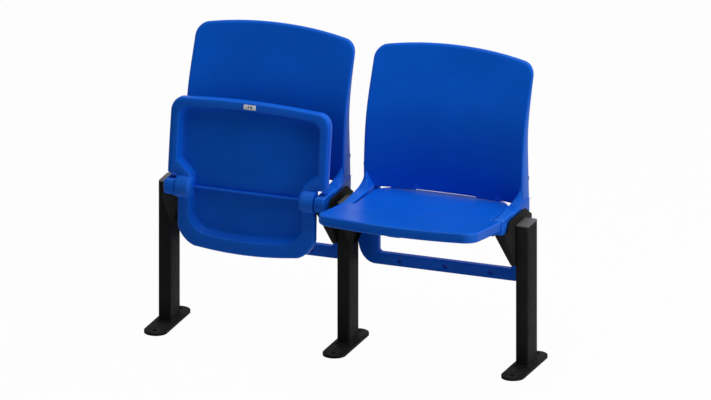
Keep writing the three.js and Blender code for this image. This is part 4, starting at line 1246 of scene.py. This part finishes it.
class SEATROW_OT_hinge_pins(Operator):
    """Model the four hinge pins: a headed steel pin under a flush plastic cover"""
    bl_idname = "seatrow.hinge_pins"
    bl_label = "Hinge pins"

    def execute(self, context):
        outer, hinge_line = context.scene.seat_row_sizes.arm_outer, (HINGE_Y, HINGE_Z)
        head, head_radius, head_edge = outer - 0.0033, 0.009, 0.003
        pin = rod("hinge_pin", head_radius, head, outer - 0.0017)
        pick_facing(pin, X, -1)
        bpy.ops.mesh.inset(thickness=head_edge)
        push_out(x=PIN_END - head)
        round_edges(0.0008, 2)
        smooth_over(pin)
        at_sides(pin, "{seat}_pin_{hand}", "zinc_steel", "{seat}_hinge_pin_{hand}", place=hinge_line)
        cover = rod("pin_cover", 0.0091, outer - 0.0016, outer)
        pick_facing(cover, X, 1)
        round_edges(0.0007, 3)
        smooth_over(cover)
        at_sides(cover, "{seat}_pin_cover_{hand}", "blue_plastic", place=hinge_line)
        return {"FINISHED"}


class SEATROW_OT_hinge_bushes(Operator):
    """Model the four hinge bushes: a flange between arm and boss, and a sleeve round the pin"""
    bl_idname = "seatrow.hinge_bushes"
    bl_label = "Hinge bushes"

    def execute(self, context):
        radius, flange_edge, bore_radius, bore_low, bore_high = 0.012, 0.0035, 0.0063, 0.15, 0.21
        bush = rod("hinge_bush", radius, FLANGE_LOW, FLANGE_HIGH)
        pick_facing(bush, X, -1)
        bpy.ops.mesh.inset(thickness=flange_edge)
        push_out(x=PIN_END - FLANGE_LOW)
        remove_from(bush, rod("bush_bore", bore_radius, bore_low, bore_high))
        soften_edges(bush, 0.0003, 2, 60)
        smooth_over(bush)
        at_sides(bush, "{seat}_bush_{hand}", "black_plastic", "{seat}_hinge_bush_{hand}",
                 body="{seat}_seat", place=(HINGE_Y, HINGE_Z))
        return {"FINISHED"}


def plate_place(sizes):
    """Where the number plate lies on the pan's front crest: forward, slope and height, in the pan's frame."""
    outer_edge = sizes.pan_front - 0.0045
    inner_edge = sizes.pan_front - 0.0200
    outer_level, inner_level = pan_top(0, outer_edge), pan_top(0, inner_edge)
    slope = math.atan2(outer_level - inner_level, outer_edge - inner_edge)
    return (outer_edge + inner_edge) / 2, slope, (outer_level + inner_level) / 2 - sizes.rim_depth


def set_on_pans(piece, name, slot, node=None, offset=0.0, seats=SEATS, look=None):
    """Lays copies of a piece, modelled under the plane z = 0, on the crests of the pans."""
    sizes = bpy.context.scene.seat_row_sizes
    forward, slope, level = plate_place(sizes)
    laid = copy_of(piece, f"laid_{name}", (offset, -forward, level), -slope)
    for seat, turn in zip(SEATS, pan_turns(sizes)):
        if seat in seats:
            copy = copy_of(laid, f"{seat}_{name}", (SEATS[seat], HINGE_Y, HINGE_Z), turn)
            nodes = [f"{seat}_{node}"] if node else []
            hand_over(copy, f"{seat}_seat", slot, *nodes, look=look)
    drop(laid)


class SEATROW_OT_number_plates(Operator):
    """Model the two number plates, with plain digits and a domed rivet at each end"""
    bl_idname = "seatrow.number_plates"
    bl_label = "Number plates"

    def execute(self, context):
        long, wide, thick, lift, rivet_inset = 0.034, 0.013, 0.0012, 0.0006, 0.004
        face = -lift - thick
        plate = box("number_plate", (long, wide, thick), (0, 0, -lift - thick / 2))
        pick_along(plate, Z, thick / 2)
        round_edges(0.002, 6)
        soften_edges(plate, 0.0002, 2, 60)
        smooth_over(plate)
        set_on_pans(plate, "plate", "white_plastic", "number_plate")
        drop(plate)
        for seat, number in zip(SEATS, ("14", "15")):
            digits = self.digits(number, face)
            set_on_pans(digits, "plate_digits", "black_plastic", seats=(seat,), look="digit_ink")
            drop(digits)
        rivet, reach = self.rivet(face), long / 2 - rivet_inset
        for hand, side in HANDS.items():
            set_on_pans(rivet, f"rivet_{hand}", "zinc_steel", f"plate_rivet_{hand}", offset=side * reach)
        drop(rivet)
        return {"FINISHED"}

    def digits(self, number, face):
        let_go()
        bpy.ops.object.text_add(location=(0, 0, face), rotation=(math.pi, 0, 0))
        text = bpy.context.object.data
        text.body = number
        text.size = 0.0125
        text.align_x = text.align_y = "CENTER"
        text.space_character = 1.15
        text.offset = 0.0004
        text.extrude = 0.0001
        bpy.ops.object.convert(target="MESH")
        digits = open_new("digits")
        tidy_faces(digits)
        return digits

    def rivet(self, face):
        """A domed head on a short shank."""
        let_go()
        bpy.ops.mesh.primitive_uv_sphere_add(segments=28, ring_count=14, radius=0.0022, location=(0, 0, 0))
        rivet = open_new("plate_rivet")
        flatness, head_edge, shank = 0.38, 0.001, 0.0055
        cut_away((0, 0, 0), (0, 0, 1))
        pick_all()
        grow(1, 1, flatness)
        shift(z=face)
        pick_facing(rivet, Z, 1)
        bpy.ops.mesh.inset(thickness=head_edge)
        push_out(z=shank)
        smooth_over(rivet)
        return rivet


# The stage


class SEATROW_OT_stage(Operator):
    """Set the pale floor, the white surroundings, the soft lamps and the camera"""
    bl_idname = "seatrow.stage"
    bl_label = "Stage, lamps and camera"

    def execute(self, context):
        let_go()
        bpy.ops.mesh.primitive_plane_add(size=60, location=(0, 0, 0))
        floor = bpy.context.object
        floor.name = "floor"
        floor.data.materials.append(finish("floor"))
        white_world()
        for name, (place, size, power) in LAMPS.items():
            lamp(name, place, size, power)
        place_camera()
        return {"FINISHED"}


def lamp(name, place, size, power):
    """A square soft lamp that faces the middle of the row."""
    let_go()
    bpy.ops.object.light_add(type="AREA", location=place)
    light = bpy.context.object
    light.name = name
    light.data.shape = "SQUARE"
    light.data.size = size
    light.data.energy = power
    light.rotation_euler = (Vector(place) - Vector((0, 0, 0.4))).to_track_quat("Z", "Y").to_euler()


def white_world():
    """White surroundings for the eye, and a plain dim light from all sides."""
    scene = bpy.context.scene
    scene.world = scene.world or bpy.data.worlds.new("surroundings")
    scene.world.use_nodes = True
    scene.world.node_tree.nodes.clear()
    world = Wiring(scene.world.node_tree)
    seen = world.add("Background", Color=WHITE, Strength=1.0)
    light = world.add("Background", Color=WHITE, Strength=WORLD_POWER)
    world.add("OutputWorld", Surface=world.either_shader(world.seen_or_mirrored(), light, seen))


def place_camera():
    """A camera without perspective, to the row's right and above it."""
    turn, tilt, width, distance = math.radians(20.70), math.radians(19.52), 1.862, 12.0
    target = Vector((-0.021, 0.1275, 0.3574))
    back = Vector((math.sin(turn) * math.cos(tilt), -math.cos(turn) * math.cos(tilt), math.sin(tilt)))
    let_go()
    bpy.ops.object.camera_add(location=target + back * distance)
    camera = bpy.context.object
    camera.name = "camera"
    camera.rotation_euler = back.to_track_quat("Z", "Y").to_euler()
    camera.data.type = "ORTHO"
    camera.data.ortho_scale = width
    camera.data.clip_end = 200
    bpy.context.scene.camera = camera
    bpy.context.scene.view_settings.view_transform = "Standard"


STEPS = (
    SEATROW_OT_back_panels, SEATROW_OT_arms, SEATROW_OT_lower_frames, SEATROW_OT_seat_pans, SEATROW_OT_posts,
    SEATROW_OT_post_caps, SEATROW_OT_foot_plates, SEATROW_OT_brackets, SEATROW_OT_arm_bolts,
    SEATROW_OT_hinge_pins, SEATROW_OT_hinge_bushes, SEATROW_OT_number_plates, SEATROW_OT_stage)


class SEATROW_PT_row(Panel):
    """The steps of the row in their order, with its sizes and colours below"""
    bl_label = "Seat row"
    bl_space_type = "VIEW_3D"
    bl_region_type = "UI"
    bl_category = "Seat row"

    def draw(self, context):
        for step in STEPS:
            self.layout.operator(step.bl_idname)
        for group in (context.scene.seat_row_sizes, context.scene.seat_row_colours):
            column = self.layout.box()
            for name in group.bl_rna.properties.keys():
                if name not in ("rna_type", "name"):
                    column.prop(group, name)


CLASSES = (SeatRowSizes, SeatRowColours, *STEPS, SEATROW_PT_row)


def register():
    for kind in CLASSES:
        bpy.utils.register_class(kind)
    bpy.types.Scene.seat_row_sizes = PointerProperty(type=SeatRowSizes)
    bpy.types.Scene.seat_row_colours = PointerProperty(type=SeatRowColours)


def unregister():
    del bpy.types.Scene.seat_row_colours
    del bpy.types.Scene.seat_row_sizes
    for kind in reversed(CLASSES):
        bpy.utils.unregister_class(kind)


def main():
    register()
    bpy.ops.seatrow.back_panels()
    bpy.ops.seatrow.arms()
    bpy.ops.seatrow.lower_frames()
    bpy.ops.seatrow.seat_pans()
    bpy.ops.seatrow.posts()
    bpy.ops.seatrow.post_caps()
    bpy.ops.seatrow.foot_plates()
    bpy.ops.seatrow.brackets()
    bpy.ops.seatrow.arm_bolts()
    bpy.ops.seatrow.hinge_pins()
    bpy.ops.seatrow.hinge_bushes()
    bpy.ops.seatrow.number_plates()
    bpy.ops.seatrow.stage()


if __name__ == "__main__":
    main()
